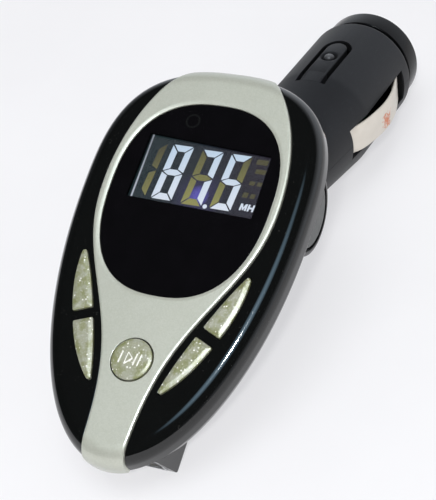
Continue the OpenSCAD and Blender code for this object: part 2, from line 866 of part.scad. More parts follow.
// Side contact: a strip bowed out of its slot, as shares of the slot's length and of its height
leaf_y_shares = [0.02, 0.07, 0.17, 0.33, 0.52, 0.72, 0.9, 0.965, 0.985];
leaf_x_shares = [0, 0.04, 0.5, 0.83, 1, 0.84, 0.42, 0.2, -0.12];
leaf_low = neck_r - leaf_tuck;
leaf_high = plug_r + leaf_out - leaf_t;

function leaf_line(extra) = [for (i = [0 : len(leaf_y_shares) - 1])
    [leaf_low + (leaf_high - leaf_low) * leaf_x_shares[i] + extra,
     leaf_start + (leaf_end - leaf_start) * leaf_y_shares[i]]];

module side_contact(side) {
    inner = leaf_line(0);
    outer = leaf_line(leaf_t);
    color([0.82, 0.8, 0.76]) plug_place() mirrored_to(side)
        translate([0, 0, -leaf_w / 2]) linear_extrude(leaf_w)
            polygon(concat(inner, [for (i = [len(outer) - 1 : -1 : 0]) outer[i]]));
}

module side_contact_left() { side_contact(-1); }
module side_contact_right() { side_contact(1); }

module nose_cap() {
    color([0.04, 0.04, 0.045]) plug_place() turned() {
        difference() {
            union() {
                polygon([
                    [tip_r + play, plug_len - thread_len], [thread_r - play, plug_len - thread_len],
                    [thread_r - play, plug_len + seat], [groove_r, plug_len + seat],
                    [groove_r, flange_start],
                    [flange_r - flange_round, flange_start], [flange_r - flange_round, flange_end],
                    [flange_r - 2 * flange_round, flange_end], [nose_r, nose_end], [tip_r + play, nose_end]
                ]);
                translate([flange_r - flange_round, flange_start + flange_round])
                    circle(r = flange_round, $fn = 48);
                translate([flange_r - flange_round, flange_end - flange_round])
                    circle(r = flange_round, $fn = 48);
                translate([flange_r - 2 * flange_round, flange_start + flange_round])
                    square([2 * flange_round, flange_w - 2 * flange_round]);
            }
            polygon([
                [0, plug_len - thread_len - over], [thread_r - nose_wall, plug_len - thread_len - over],
                [thread_r - nose_wall, flange_end], [tip_flange_r + play, nose_end - nose_wall],
                [0, nose_end - nose_wall]
            ]);
        }
    }
}

module tip_contact() {
    color([0.78, 0.76, 0.72]) plug_place() {
        plug_rod(tip_back, tip_back + tip_flange_t, tip_flange_r);
        plug_rod(tip_back, tip_end - tip_r, tip_r);
        translate([0, tip_end - tip_r, 0]) sphere(r = tip_r, $fn = 64);
    }
}

module fuse_glass() {
    color([0.85, 0.9, 0.92, 0.5]) plug_place()
        plug_rod(fuse_back + fuse_cap_len + seat, fuse_front - fuse_cap_len - seat, fuse_r * 0.92);
}

module fuse_cap_front() {
    color([0.8, 0.8, 0.82]) plug_place() plug_rod(fuse_front - fuse_cap_len, fuse_front, fuse_r);
}

module fuse_cap_rear() {
    color([0.8, 0.8, 0.82]) plug_place() plug_rod(fuse_back, fuse_back + fuse_cap_len, fuse_r);
}

// The tip spring is one unbroken tube that winds from the seat to the fuse
coil_rings = 14;
coil_sides = 6;
coil_rise = spring_len - 2 * wire_r - 2 * seat;
function coil_point(t) = [spring_r * cos(360 * t),
    spring_back + seat + wire_r + coil_rise * t / spring_turns, spring_r * sin(360 * t)];

function coil_ring(t) = let (c = coil_point(t), out = [cos(360 * t), 0, sin(360 * t)])
    [for (k = [0 : coil_sides - 1]) let (b = 360 * k / coil_sides)
        c + wire_r * (cos(b) * out + [0, sin(b), 0])];

spring_gap = coil_rise / spring_turns - 2 * wire_r;
echo(spring_gap = spring_gap);

module tip_spring() {
    rings = coil_rings * spring_turns;
    n = coil_sides;
    points = [for (i = [0 : rings]) for (p = coil_ring(i / coil_rings)) p];
    sides = [for (i = [0 : rings - 1]) for (k = [0 : n - 1])
        [i * n + k, (i + 1) * n + k, (i + 1) * n + (k + 1) % n, i * n + (k + 1) % n]];
    color([0.62, 0.63, 0.65]) plug_place()
        polyhedron(points, concat([[for (k = [0 : n - 1]) k]], sides,
                                  [[for (k = [n - 1 : -1 : 0]) rings * n + k]]));
}

module spring_seat() {
    color([0.8, 0.62, 0.28]) plug_place() {
        plug_rod(spring_back - seat_t - seat, spring_back - seat, seat_r);
        plug_block(-seat_r / 2, seat_r / 2, spring_back - seat_t - seat, spring_back - seat,
                   -power_n + power_t + seat, 0);
    }
}

module power_board() {
    color([0.05, 0.3, 0.14]) plug_place()
        plug_block(-power_half, power_half, power_start, power_end, -power_n, -power_n + power_t);
}

module inductor() {
    top = -power_n + power_t + seat;
    height = 2 * part_r;
    y = power_start + inductor_share * part_space;
    color([0.2, 0.2, 0.21]) plug_place() translate([part_x, y, top]) {
        cylinder(h = height / 5, r = part_r, $fn = 48);
        cylinder(h = height, r = part_r * 0.7, $fn = 48);
        translate([0, 0, height * 0.8]) cylinder(h = height / 5, r = part_r, $fn = 48);
    }
}

module capacitor() {
    color([0.12, 0.13, 0.3]) plug_place() translate([-part_x, 0, -power_n + power_t + seat + part_r])
        plug_rod(power_start + capacitor_shares[0] * part_space,
                 power_start + capacitor_shares[1] * part_space, part_r);
}

module regulator() {
    color([0.07, 0.07, 0.08]) plug_place()
        plug_block(-regulator_w / 2, regulator_w / 2, power_end - regulator_back,
                   power_end - regulator_back + regulator_l, -power_n - regulator_h, -power_n - seat);
}

front_shell();
silver_band();
display_window();
display_glass();
backlight();
key_upper_left();
key_upper_right();
key_lower_left();
key_lower_right();
play_key();
main_board();
switch_upper_left();
switch_upper_right();
switch_lower_left();
switch_lower_right();
switch_play();
infrared_eye();
control_chip();
radio_chip();
crystal();
usb_socket();
usb_blade();
back_shell();
screw_left();
screw_right();
screw_low();
hinge_pin();
ear_cap_left();
ear_cap_right();
washer_left();
washer_right();
plug_top();
plug_bottom();
neck_screw();
spring_tongue();
side_contact_left();
side_contact_right();
nose_cap();
tip_contact();
fuse_glass();
fuse_cap_front();
fuse_cap_rear();
tip_spring();
spring_seat();
power_board();
inductor();
capacitor();
regulator();
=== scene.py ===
import bmesh
import bpy
import json
import math
import numpy as np
from mathutils import Matrix, Vector
from mathutils.geometry import delaunay_2d_cdt


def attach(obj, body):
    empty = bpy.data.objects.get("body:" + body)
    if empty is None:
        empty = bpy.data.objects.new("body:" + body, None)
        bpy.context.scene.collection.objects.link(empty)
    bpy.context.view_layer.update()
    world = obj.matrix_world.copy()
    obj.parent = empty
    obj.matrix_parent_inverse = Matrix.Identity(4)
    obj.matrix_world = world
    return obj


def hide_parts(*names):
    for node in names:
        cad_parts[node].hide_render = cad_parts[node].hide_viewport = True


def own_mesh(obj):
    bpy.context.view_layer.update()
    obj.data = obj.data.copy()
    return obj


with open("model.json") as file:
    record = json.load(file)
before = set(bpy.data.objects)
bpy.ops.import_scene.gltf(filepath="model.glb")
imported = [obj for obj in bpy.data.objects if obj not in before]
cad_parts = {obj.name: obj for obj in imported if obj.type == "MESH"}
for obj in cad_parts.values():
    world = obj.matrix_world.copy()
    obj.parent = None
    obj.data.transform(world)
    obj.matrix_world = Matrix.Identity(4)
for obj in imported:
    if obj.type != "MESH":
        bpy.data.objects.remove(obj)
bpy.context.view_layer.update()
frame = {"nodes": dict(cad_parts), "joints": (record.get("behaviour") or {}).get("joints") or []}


# Camera, looking down on the face from its lower left.
# It stands about 300 mm from the hinge with a long lens.
joints = {j["name"]: j for j in frame["joints"]}
hinge = Vector(joints["head_fold"]["pos_m"]) * 1000
press_way = Vector(joints["play_key_press"]["axis"])
nose_way = Vector(joints["nose_turn"]["axis"])
tilt = math.atan2(press_way.y, -press_way.z)
droop = math.atan2(-nose_way.z, nose_way.y)
hinge_y, hinge_depth = 11.2, 23.7
MM = 0.001

head_turn = Matrix.Rotation(tilt, 4, "X")
head_space = (Matrix.Scale(MM, 4) @ Matrix.Translation(hinge) @ head_turn
              @ Matrix.Translation((0, -hinge_y, hinge_depth)))
plug_space = (Matrix.Scale(MM, 4) @ Matrix.Translation(hinge)
              @ Matrix.Rotation(-droop, 4, "X"))

view_right, view_up, view_back = (head_turn.to_3x3() @ Vector(v) for v in (
    (0.8973, 0.3018, -0.3221), (-0.1531, 0.8972, 0.4142), (0.4140, -0.3224, 0.8513)))
eye = (hinge + head_turn.to_3x3() @ Vector((123.0, -108.3, 260.2))) * MM
lens = bpy.data.cameras.new("camera")
lens.lens = 84
lens.sensor_fit = "VERTICAL"
lens.sensor_height = 24
lens.clip_start = 0.01


def linked(name, data):
    """An object that is part of the scene."""
    made = bpy.data.objects.new(name, data)
    bpy.context.scene.collection.objects.link(made)
    return made


camera = linked("camera", lens)
look = Matrix((view_right, view_up, view_back)).transposed().to_4x4()
camera.matrix_world = Matrix.Translation(eye) @ look
bpy.context.scene.camera = camera


# Front shell: the gloss black upper half of the head, moulded in ABS.
# Its channel holds the band, and its rounded rim meets the back shell.
head_half_w, head_up, head_down = 20.7, 24.4, 45.1
rim_depth, edge_r, wall, plate_t = 4.2, 2.8, 1.6, 2.2
band_floor, seat = 0.95, 0.05
egg_powers = {1: (2.6, 3.0), -1: (2.0, 2.0)}


def resampled(points, step):
    """A closed line with its points set evenly along it."""
    ring = np.vstack([points, points[:1]])
    run = np.concatenate([[0], np.cumsum(np.linalg.norm(np.diff(ring, axis=0), axis=1))])
    count = max(8, round(run[-1] / step))
    at = np.arange(count) * run[-1] / count
    return np.column_stack([np.interp(at, run, ring[:, 0]), np.interp(at, run, ring[:, 1])])


def oval(half_w, up, down, up_powers, down_powers, centre_y=0.0, step=0.4):
    a = np.linspace(0, 2 * np.pi, 2880, endpoint=False)
    c, s = np.cos(a), np.sin(a)
    upper = s >= 0
    px = np.where(upper, up_powers[0], down_powers[0])
    py = np.where(upper, up_powers[1], down_powers[1])
    x = half_w * np.sign(c) * np.abs(c) ** (2 / px)
    y = np.where(upper, up, down) * np.sign(s) * np.abs(s) ** (2 / py)
    return resampled(np.column_stack([x, y + centre_y]), step)


def moved(ring, inset):
    """A closed line moved inwards, square to itself."""
    along = np.roll(ring, -1, 0) - np.roll(ring, 1, 0)
    along /= np.linalg.norm(along, axis=1)[:, None]
    return ring + inset * np.column_stack([-along[:, 1], along[:, 0]])


def anticlockwise(points):
    ring = np.array(points, float)
    after = np.roll(ring, -1, 0)
    area = (ring[:, 0] * after[:, 1] - after[:, 0] * ring[:, 1]).sum()
    return ring if area > 0 else ring[::-1]


def gap_to(points, line, closed=True):
    """Distance of each point from a line."""
    start = line if closed else line[:-1]
    end = np.roll(line, -1, 0) if closed else line[1:]
    run = end - start
    size = np.maximum((run ** 2).sum(1), 1e-12)
    best = np.full(len(points), 1e9)
    for i in range(0, len(points), 4000):
        away = points[i:i + 4000, None] - start[None]
        share = np.clip((away * run[None]).sum(2) / size[None], 0, 1)
        near = away - share[:, :, None] * run[None]
        best[i:i + 4000] = np.sqrt((near ** 2).sum(2).min(1))
    return best


def inside(points, loops):
    """True where a point lies within the loops, counting holes."""
    odd = np.zeros(len(points), bool)
    x, y = points[:, 0], points[:, 1]
    for loop in loops:
        for (ax, ay), (bx, by) in zip(loop, np.roll(loop, -1, 0)):
            if ay == by:
                continue
            crosses = (y < ay) != (y < by)
            odd ^= crosses & (x < ax + (bx - ax) * (y - ay) / (by - ay))
    return odd


egg = oval(head_half_w, head_up, head_down, egg_powers[1], egg_powers[-1])


def egg_depth(points):
    """How far a point lies inside the egg's outline; less than zero outside."""
    up = points[:, 1] >= 0
    px = np.where(up, egg_powers[1][0], egg_powers[-1][0])
    py = np.where(up, egg_powers[1][1], egg_powers[-1][1])
    reach = np.where(up, head_up, head_down)
    f = np.abs(points[:, 0] / head_half_w) ** px + np.abs(points[:, 1] / reach) ** py
    return gap_to(points, egg) * np.where(f <= 1, 1, -1)


def crown(depth, raised):
    """Height of the face with its rounded edge, raised by a distance square to it."""
    radius = edge_r + raised
    t = np.clip(edge_r - depth, 0, radius)
    return np.sqrt(np.maximum(radius ** 2 - t ** 2, 0)) - edge_r


def eased(gap, radius):
    """Drop of a rounded arris at a distance from it."""
    t = np.clip(radius - gap, 0, radius)
    return radius - np.sqrt(np.maximum(radius ** 2 - t ** 2, 0))


def crown_rings(raised, steps=15):
    radius = edge_r + raised
    turns = [radius * (1 - math.sin(math.radians(90 * k / steps))) - raised for k in range(steps)]
    return [moved(egg, d) for d in (edge_r + 0.06, *turns)]


def bevelled(gap, width, slope=0.3):
    """Drop of a flat bevel at a distance from its edge."""
    return np.maximum(width - gap, 0) * slope


def circle(x, y, r, count=64):
    a = np.arange(count) * 2 * np.pi / count
    return np.column_stack([x + r * np.cos(a), y + r * np.sin(a)])


def box_loop(x, y, w, h, r=0.4, steps=4):
    points = []
    for cx, cy, start in ((1, 1, 0), (-1, 1, 90), (-1, -1, 180), (1, -1, 270)):
        for k in range(steps + 1):
            a = math.radians(start + 90 * k / steps)
            points.append((x + cx * (w / 2 - r) + r * math.cos(a), y + cy * (h / 2 - r) + r * math.sin(a)))
    return np.array(points)


def plate(loops, shaping, top, under, open_lines=()):
    """A closed plate between two heights. The loops bound it and the other lines only shape it."""
    points, edges = [], []
    for line, closed in [(l, True) for l in [*loops, *shaping]] + [(l, False) for l in open_lines]:
        first = len(points)
        points += [Vector(p) for p in line]
        count = len(line)
        edges += [(first + i, first + (i + 1) % count) for i in range(count if closed else count - 1)]
    made, _, faces, *_ = delaunay_2d_cdt(points, edges, [], 0, 1e-5)
    flat = np.array([tuple(p) for p in made])
    faces = np.array([f for f in faces if len(f) == 3])
    a, b, c = (flat[faces[:, k]] for k in range(3))
    area = (b[:, 0] - a[:, 0]) * (c[:, 1] - a[:, 1]) - (b[:, 1] - a[:, 1]) * (c[:, 0] - a[:, 0])
    faces[area < 0] = faces[area < 0][:, ::-1]
    keep = inside((a + b + c) / 3, loops) & (np.abs(area) > 1e-9)
    faces = faces[keep]
    used, back = np.unique(faces, return_inverse=True)
    faces = back.reshape(-1, 3)
    flat = flat[used]
    n = len(flat)
    directed = {(f[i], f[(i + 1) % 3]) for f in faces.tolist() for i in range(3)}
    rim = [(i, j) for i, j in directed if (j, i) not in directed]
    verts = np.vstack([np.column_stack([flat, top(flat)]), np.column_stack([flat, under(flat)])])
    walls = [(i + n, j + n, j, i) for i, j in sorted(rim)]
    return verts, faces.tolist() + [(f[2] + n, f[1] + n, f[0] + n) for f in faces.tolist()] + walls


def joined(*solids):
    verts, faces, first = [], [], 0
    for v, f in solids:
        verts.append(np.asarray(v, float))
        faces += [tuple(i + first for i in face) for face in f]
        first += len(v)
    return np.vstack(verts), faces


def piece(name, solid, space, material, sharp=32):
    """An object whose place is in its mesh, smooth but for edges sharper than an angle."""
    verts, faces = solid
    mesh = bpy.data.meshes.new(name)
    mesh.from_pydata([space @ Vector(v) for v in verts], [], faces)
    mesh.validate()
    mesh.materials.append(material)
    return placed(name, mesh, sharp)


def placed(name, mesh, sharp=32):
    mesh.shade_smooth()
    mesh.set_sharp_from_angle(angle=math.radians(sharp))
    return linked(name, mesh)


class Measure:
    """A number or colour in a finish that changes over the surface."""

    def __init__(self, finish, socket):
        self.finish, self.socket = finish, socket

    def maths(self, operation, *values):
        return self.finish.node("ShaderNodeMath", {"operation": operation}, dict(enumerate(values)))

    def __add__(self, other): return self.maths("ADD", self, other)
    def __radd__(self, other): return self.maths("ADD", other, self)
    def __sub__(self, other): return self.maths("SUBTRACT", self, other)
    def __rsub__(self, other): return self.maths("SUBTRACT", other, self)
    def __mul__(self, other): return self.maths("MULTIPLY", self, other)
    def __rmul__(self, other): return self.maths("MULTIPLY", other, self)
    def __truediv__(self, other): return self.maths("DIVIDE", self, other)
    def __pow__(self, other): return self.maths("POWER", self, other)
    def __gt__(self, other): return self.maths("GREATER_THAN", self, other)
    def __lt__(self, other): return self.maths("LESS_THAN", self, other)
    def __abs__(self): return self.maths("ABSOLUTE", self)

    def ramp(self, low, high, start=0.0, end=1.0):
        return self.finish.node("ShaderNodeMapRange", {"clamp": True},
                                {0: self, 1: low, 2: high, 3: start, 4: end})


class Finish:
    """One finish, with the head's or the plug's own millimetres as its coordinates."""

    def __init__(self, name, space=head_space):
        self.material = bpy.data.materials.new(name)
        self.material.use_nodes = True
        self.tree = self.material.node_tree
        self.tree.nodes.clear()
        self.out = self.tree.nodes.new("ShaderNodeOutputMaterial")
        back = space.inverted()
        turn = back.to_3x3().normalized().to_euler()
        position = self.node("ShaderNodeTexCoord", {}, {}, "Object")
        self.place = self.node("ShaderNodeMapping", {}, {
            "Vector": position, "Location": back.translation, "Rotation": turn, "Scale": (1000, 1000, 1000)})

    def node(self, kind, settings, values, out=0):
        made = self.tree.nodes.new(kind)
        for key, value in settings.items():
            if key == "stops":
                ramp = made.color_ramp
                while len(ramp.elements) < len(value):
                    ramp.elements.new(0.5)
                for stop, (at, colour) in zip(ramp.elements, value):
                    stop.position, stop.color = at, (*colour, 1)
            else:
                setattr(made, key, value)
        for key, value in values.items():
            if isinstance(value, Measure):
                self.tree.links.new(value.socket, made.inputs[key])
            else:
                made.inputs[key].default_value = value
        return Measure(self, made.outputs[out])

    def noise(self, scale, detail=3.0, roughness=0.55, at=None, out="Fac"):
        return self.node("ShaderNodeTexNoise", {}, {
            "Vector": at or self.place, "Scale": scale, "Detail": detail, "Roughness": roughness}, out)

    def cells(self, scale, out="Distance", at=None):
        return self.node("ShaderNodeTexVoronoi", {}, {"Vector": at or self.place, "Scale": scale}, out)

    def axes(self):
        return [self.node("ShaderNodeSeparateXYZ", {}, {0: self.place}, k) for k in range(3)]

    def stretched(self, x, y, z):
        return self.node("ShaderNodeVectorMath", {"operation": "MULTIPLY"}, {0: self.place, 1: (x, y, z)})

    def mix(self, share, a, b):
        pick = [v if isinstance(v, Measure) else (*v, 1) for v in (a, b)]
        return self.node("ShaderNodeMix", {"data_type": "RGBA"}, {0: share, 6: pick[0], 7: pick[1]}, 2)

    def bump(self, height, strength, distance, under=None):
        values = {"Height": height, "Strength": strength, "Distance": distance * MM}
        if under:
            values["Normal"] = under
        return self.node("ShaderNodeBump", {}, values)

    def body(self, **values):
        names = {key.replace("_", " "): value for key, value in values.items()}
        for key in ("Base Color", "Emission Color", "Coat Tint"):
            if key in names and not isinstance(names[key], Measure):
                names[key] = (*names[key], 1)
        return self.node("ShaderNodeBsdfPrincipled", {}, names)

    def done(self, shader):
        self.tree.links.new(shader.socket, self.out.inputs["Surface"])
        return self.material


def colour(r, g, b):
    """A colour as a screen shows it, from 0 to 255, in linear light."""
    return tuple((v / 255 / 12.92) if v <= 10 else ((v / 255 + 0.055) / 1.055) ** 2.4 for v in (r, g, b))


def gloss_plastic(name, space, tone, rough, worn, bend=1.5, coat=0.25):
    """Moulded plastic with faint flow, fine scratches and dust."""
    f = Finish(name, space)
    flow = f.noise(0.12, 2.0)
    scratch = f.noise(2.2, 4.0, at=f.stretched(6.0, 0.5, 1.0)).ramp(0.62, 0.75)
    dust = (f.cells(1.9) < 0.07) * f.noise(0.5).ramp(0.5, 0.62)
    base = f.mix(dust * 0.35, f.mix(flow, tone, tuple(v * 1.35 for v in tone)), colour(150, 150, 145))
    roughness = rough + flow * 0.02 + scratch * worn + dust * 0.3
    return f.done(f.body(
        Base_Color=base, Roughness=roughness, IOR=bend, Coat_Weight=coat, Coat_Roughness=0.04,
        Normal=f.bump(flow + scratch * 0.02, 0.25, 0.03)))


gloss_black = gloss_plastic("gloss_black", head_space, colour(9, 10, 10), 0.06, 0.1)

band_half_w, band_up, band_neck_half, band_flare = 16.0, 25.3, 3.6, 23.0
window_y, key_clear, play_y, play_r = 1.5, 0.22, -28.2, 3.46
eye_x, eye_y, eye_hole_r = -3.9, 14.2, 1.6
lcd_y, view_y, view_w, view_h = 4.6, 5.2, 24.4, 13.6


def band_half(y):
    up = np.minimum((y - window_y) / band_up, 0.93)
    down = np.maximum(window_y - y, 0)
    flared = band_neck_half + (band_half_w - band_neck_half) * np.exp(-(down / band_flare) ** 2.35)
    return np.where(y >= window_y, band_half_w * np.sqrt(1 - np.maximum(up, 0) ** 2), flared)


key_top = np.array([float(band_half(np.array(-11.4))) + 1.5, -11.4])
key_end = np.array([float(band_half(np.array(-32.5))) + 1.5, -32.5])
chord = np.linalg.norm(key_end - key_top)
along = (key_end - key_top) / chord
across = np.array([-along[1], along[0]])
key_split, bow_out, bow_in, blunt = 1.7, 2.65, 0.95, 2.5


def key_loop(side, upper, clear, trim, corner=0.28):
    """Outline of one key of the crescent pair, with its corners rounded."""
    s0 = trim if upper else (chord + key_split) / 2 + clear
    s1 = (chord - key_split) / 2 - clear if upper else chord - trim

    def edge(s, bow, way):
        t = np.clip((s + 1.2) / (chord + 2.4), 0, 1)
        return key_top + along * s + across * way * (bow * (1 - abs(2 * t - 1) ** blunt) - clear)

    runs = np.linspace(s0, s1, 40)
    points = np.array([edge(s, bow_out, 1) for s in runs] + [edge(s, bow_in, -1) for s in runs[::-1]])
    ring = resampled(points, 0.12)
    soft = ring.copy()
    window = max(1, round(corner / 0.12))
    for _ in range(2):
        soft = sum(np.roll(soft, k, 0) for k in range(-window, window + 1)) / (2 * window + 1)
    turn = np.linalg.norm(np.roll(ring, window, 0) + np.roll(ring, -window, 0) - 2 * ring, axis=1)
    share = np.clip(turn / 0.12, 0, 1)[:, None]
    for _ in range(3):
        share = (np.roll(share, 1, 0) + share + np.roll(share, -1, 0)) / 3
    ring = ring + (soft - ring) * share
    return anticlockwise(ring * (side, 1))


key_names = {"key_upper_left": (-1, True), "key_upper_right": (1, True),
             "key_lower_left": (-1, False), "key_lower_right": (1, False)}
key_holes = [key_loop(side, upper, 0, -0.2) for side, upper in key_names.values()]


def band_line(side, extra):
    """The band's edge, or a line at a distance outside it."""
    y = np.linspace(-head_down - 1, head_up + 1, 320)
    step = np.gradient(np.column_stack([band_half(y), y]), axis=0)
    step /= np.linalg.norm(step, axis=1)[:, None]
    return np.column_stack([side * (band_half(y) + extra * step[:, 1]), y - extra * step[:, 0]])


def beside_band(p):
    """Distance outside the band's edge; less than zero on the band."""
    near = np.minimum(gap_to(p, band_line(1, 0), False), gap_to(p, band_line(-1, 0), False))
    return np.where(np.abs(p[:, 0]) > band_half(p[:, 1]), near, -near)


arris = 0.16
channel = seat


def shell_top(p):
    depth = egg_depth(p)
    beside = beside_band(p) - channel
    hole_gap = np.minimum.reduce([gap_to(p, h) for h in key_holes])
    lobe = crown(depth, 0) - np.maximum(eased(abs(beside), arris), eased(hole_gap, arris / 2))
    floor = np.where(depth > band_floor, crown(depth, -band_floor), -rim_depth + seat)
    return np.where(beside > 0, lobe, floor)


def shell_under(p):
    return np.where(egg_depth(p) > wall, -plate_t, -rim_depth)


front = plate(
    [egg, *key_holes, circle(0, play_y, play_r + key_clear), circle(eye_x, eye_y, eye_hole_r, 32),
     box_loop(0, view_y, view_w, view_h)],
    [*crown_rings(0), moved(egg, 0.03), moved(egg, band_floor - 0.01), moved(egg, band_floor + 0.01),
     moved(egg, wall - 0.01), moved(egg, wall + 0.01),
     *[moved(h, -g) for h in key_holes for g in (0.03, arris / 2, arris / 2 + 0.02)]],
    shell_top, shell_under,
    [band_line(s, channel + g) for s in (1, -1) for g in (-0.01, 0.01, 0.06, arris, arris + 0.02)])
front_piece = piece("front_shell_moulding", front, head_space, gloss_black)
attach(front_piece, "head")
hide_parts("front_shell")


# Silver band: a thin moulded trim, sprayed with warm silver lacquer.
# It snaps into the shell's channel and frames the window.
band_proud = 0.4
window_half_w, window_up, window_down = 14.6, 16.1, 18.6
window_ring = oval(window_half_w, window_up, window_down, (2.45, 2.45), (2.45, 2.45), window_y, 0.35)


def silver_lacquer():
    f = Finish("silver_lacquer")
    flake = f.cells(5.5, "Color")
    grain = f.node("ShaderNodeSeparateColor", {}, {0: flake}, 0)
    cloud = f.noise(0.09, 2.0)
    base = f.mix(grain * 0.16, f.mix(cloud, colour(176, 179, 167), colour(184, 187, 176)), colour(224, 226, 219))
    x, y, z = f.axes()
    # Painted shade: the wall of the play key's hole, below the band's top, is darkened to near black.
    hole_wall_shade = z.ramp(0.12, 0.26, 1, 0) * (x ** 2 + (y - play_y) ** 2).ramp(17, 18, 1, 0)
    base = f.mix(hole_wall_shade, base, colour(26, 27, 28))
    mark = f.noise(1.4, 4.0, at=f.stretched(0.4, 5.0, 1.0)).ramp(0.66, 0.8)
    return f.done(f.body(
        Base_Color=base, Metallic=0.42, Roughness=0.4 + grain * 0.08 + mark * 0.1, IOR=1.45,
        Coat_Weight=0.6, Coat_Roughness=0.14, Normal=f.bump(grain, 0.1, 0.03)))


silver = silver_lacquer()
grown = moved(egg, -band_proud)
sheer = band_half(grown[:, 1])
on_egg = np.abs(grown[:, 0]) <= sheer
top_arc = grown[on_egg & (grown[:, 1] > 0)]
low_arc = grown[on_egg & (grown[:, 1] < 0)]
top_arc = top_arc[np.argsort(-top_arc[:, 0])]
low_arc = low_arc[np.argsort(low_arc[:, 0])]
side_y = np.linspace(low_arc[:, 1].max() + 0.25, top_arc[:, 1].min() - 0.15, 240)
right_side = np.column_stack([band_half(side_y), side_y])
band_loop = resampled(np.vstack([right_side, top_arc, right_side[::-1] * (-1, 1), low_arc]), 0.3)
band_bevel, window_bevel = 0.33, 0.56
play_hole = circle(0, play_y, play_r + key_clear)


def band_top(p):
    side = abs(beside_band(p))
    drop = np.maximum.reduce([bevelled(side, band_bevel) + eased(side, 0.08) * 0.6,
                              bevelled(gap_to(p, window_ring), window_bevel), eased(gap_to(p, play_hole), 0.1)])
    return crown(egg_depth(p), band_proud) - drop


def band_under(p):
    depth = egg_depth(p)
    return np.where(depth > band_floor - seat, crown(depth, seat - band_floor), -rim_depth)


band = plate(
    [band_loop, moved(window_ring, -0.02), play_hole],
    [*crown_rings(band_proud), moved(egg, 0.03 - band_proud), moved(egg, 0.89), moved(egg, 0.91),
     *[moved(window_ring, -g) for g in (0.06, 0.12, window_bevel, window_bevel + 0.02)],
     *[circle(0, play_y, play_r + key_clear + g) for g in (0.04, 0.1, 0.12)]],
    band_top, band_under,
    [band_line(s, -g) for s in (1, -1) for g in (0.04, 0.08, band_bevel, band_bevel + 0.02)])
band_piece = piece("band_trim", band, head_space, silver)
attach(band_piece, "head")
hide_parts("silver_band")


# Window: one flat lens of smoked acrylic, polished, black behind.
# Only the part over the display is left clear.
def smoked_acrylic():
    f = Finish("smoked_acrylic")
    x, y, z = f.axes()
    swirl = f.noise(1.6, 5.0, at=f.stretched(0.6, 4.0, 1.0)).ramp(0.6, 0.8)
    haze = f.noise(0.2, 2.0)
    dull = 0.035 + haze * 0.02 + swirl * 0.06
    normal = f.bump(haze, 0.1, 0.02)
    ring = abs(((x - eye_x) ** 2 + (y - eye_y) ** 2) ** 0.5 - 1.15).ramp(0.05, 0.22, 0.6, 0)
    dark = f.body(Base_Color=f.mix(ring, f.mix(haze, colour(5, 5, 6), colour(10, 9, 12)), colour(24, 26, 26)),
                  Roughness=dull, IOR=1.49, Normal=normal)
    clear = f.body(Base_Color=f.mix(haze, colour(202, 206, 214), colour(208, 210, 216)), Roughness=0.0, IOR=1.49,
                   Transmission_Weight=1.0)
    over_lcd = ((x - y * 0.041).ramp(-11.16, -11.06) * x.ramp(11.74, 11.84, 1, 0)
                * (y + x * 0.055).ramp(10.42, 10.52, 1, 0) * (y + x * 0.03).ramp(-1.12, -1.02))
    return f.done(f.node("ShaderNodeMixShader", {}, {0: over_lcd, 1: dark, 2: clear}))


window_top = 0.06
window = plate(
    [window_ring], [moved(window_ring, g) for g in (0.02, 0.06, 0.12, 0.14, 0.6)],
    lambda p: window_top - eased(gap_to(p, window_ring), 0.12), lambda p: np.full(len(p), -band_floor + seat))
window_piece = piece("window_lens", window, head_space, smoked_acrylic(), 25)
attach(window_piece, "head")
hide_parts("display_window")


# Display: a dark liquid-crystal glass lit from behind, with its polarising film.
# Its bars stand on the film; those that are lit are bluish white, the rest olive.
lcd_w, lcd_h, lcd_t, lcd_top = 27.0, 15.8, 1.2, plate_t + seat


def display_film():
    f = Finish("display_film")
    x, y, z = f.axes()
    drift = f.noise(0.16, 2.0)
    glow = f.mix(x.ramp(-12, 12), colour(32, 48, 48), colour(48, 40, 50))
    glow = f.mix(drift.ramp(0.35, 0.65) * 0.4, glow, colour(32, 42, 54))
    away = (x - 0.5) ** 2 + (y - 1.9) ** 2
    glow = f.mix(away.ramp(0.5, 24, 0.8, 0), glow, colour(62, 56, 92))
    glow = f.mix(away.ramp(0.2, 4, 0.9, 0), glow, colour(108, 100, 196))
    edge = abs(x + 11.25 - y * 0.0165).ramp(0.1, 0.2, 1, 0)
    glow = f.mix(edge * y.ramp(-1.0, 9.0, 1, 0.5), glow, colour(216, 219, 226))
    return f.done(f.body(Base_Color=colour(8, 10, 12), Roughness=0.25 + drift * 0.05, IOR=1.03, Emission_Color=glow,
                         Emission_Strength=1.2, Normal=f.bump(drift, 0.05, 0.01)))


def lit_bar(name, light, shade, strength, dim=0.0):
    f = Finish(name)
    speck = f.noise(3.0, 2.0)
    x, y, z = f.axes()
    fade = y.ramp(0, 10, 0, 0.8) + x.ramp(-6, -11, 0, 0.4) + x.ramp(7.4, 8.6, 0, 0.9) * dim + speck * 0.2
    return f.done(f.body(Base_Color=colour(12, 12, 14), Roughness=0.4, IOR=1.03,
                         Emission_Color=f.mix(fade, light, shade), Emission_Strength=strength))


glass_ring = box_loop(0, lcd_y, lcd_w, lcd_h, 0.3)
glass = plate([glass_ring], [box_loop(0, lcd_y, lcd_w - 0.3, lcd_h - 0.3, 0.2)],
              lambda p: -lcd_top - eased(gap_to(p, glass_ring), 0.15),
              lambda p: np.full(len(p), -lcd_top - lcd_t))
glass_piece = piece("display_panel", glass, head_space, display_film())
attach(glass_piece, "head")
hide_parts("display_glass")

digit_w, digit_h, bar_w, bar_gap, lean = 3.75, 10.1, 1.2, 0.075, 0.085


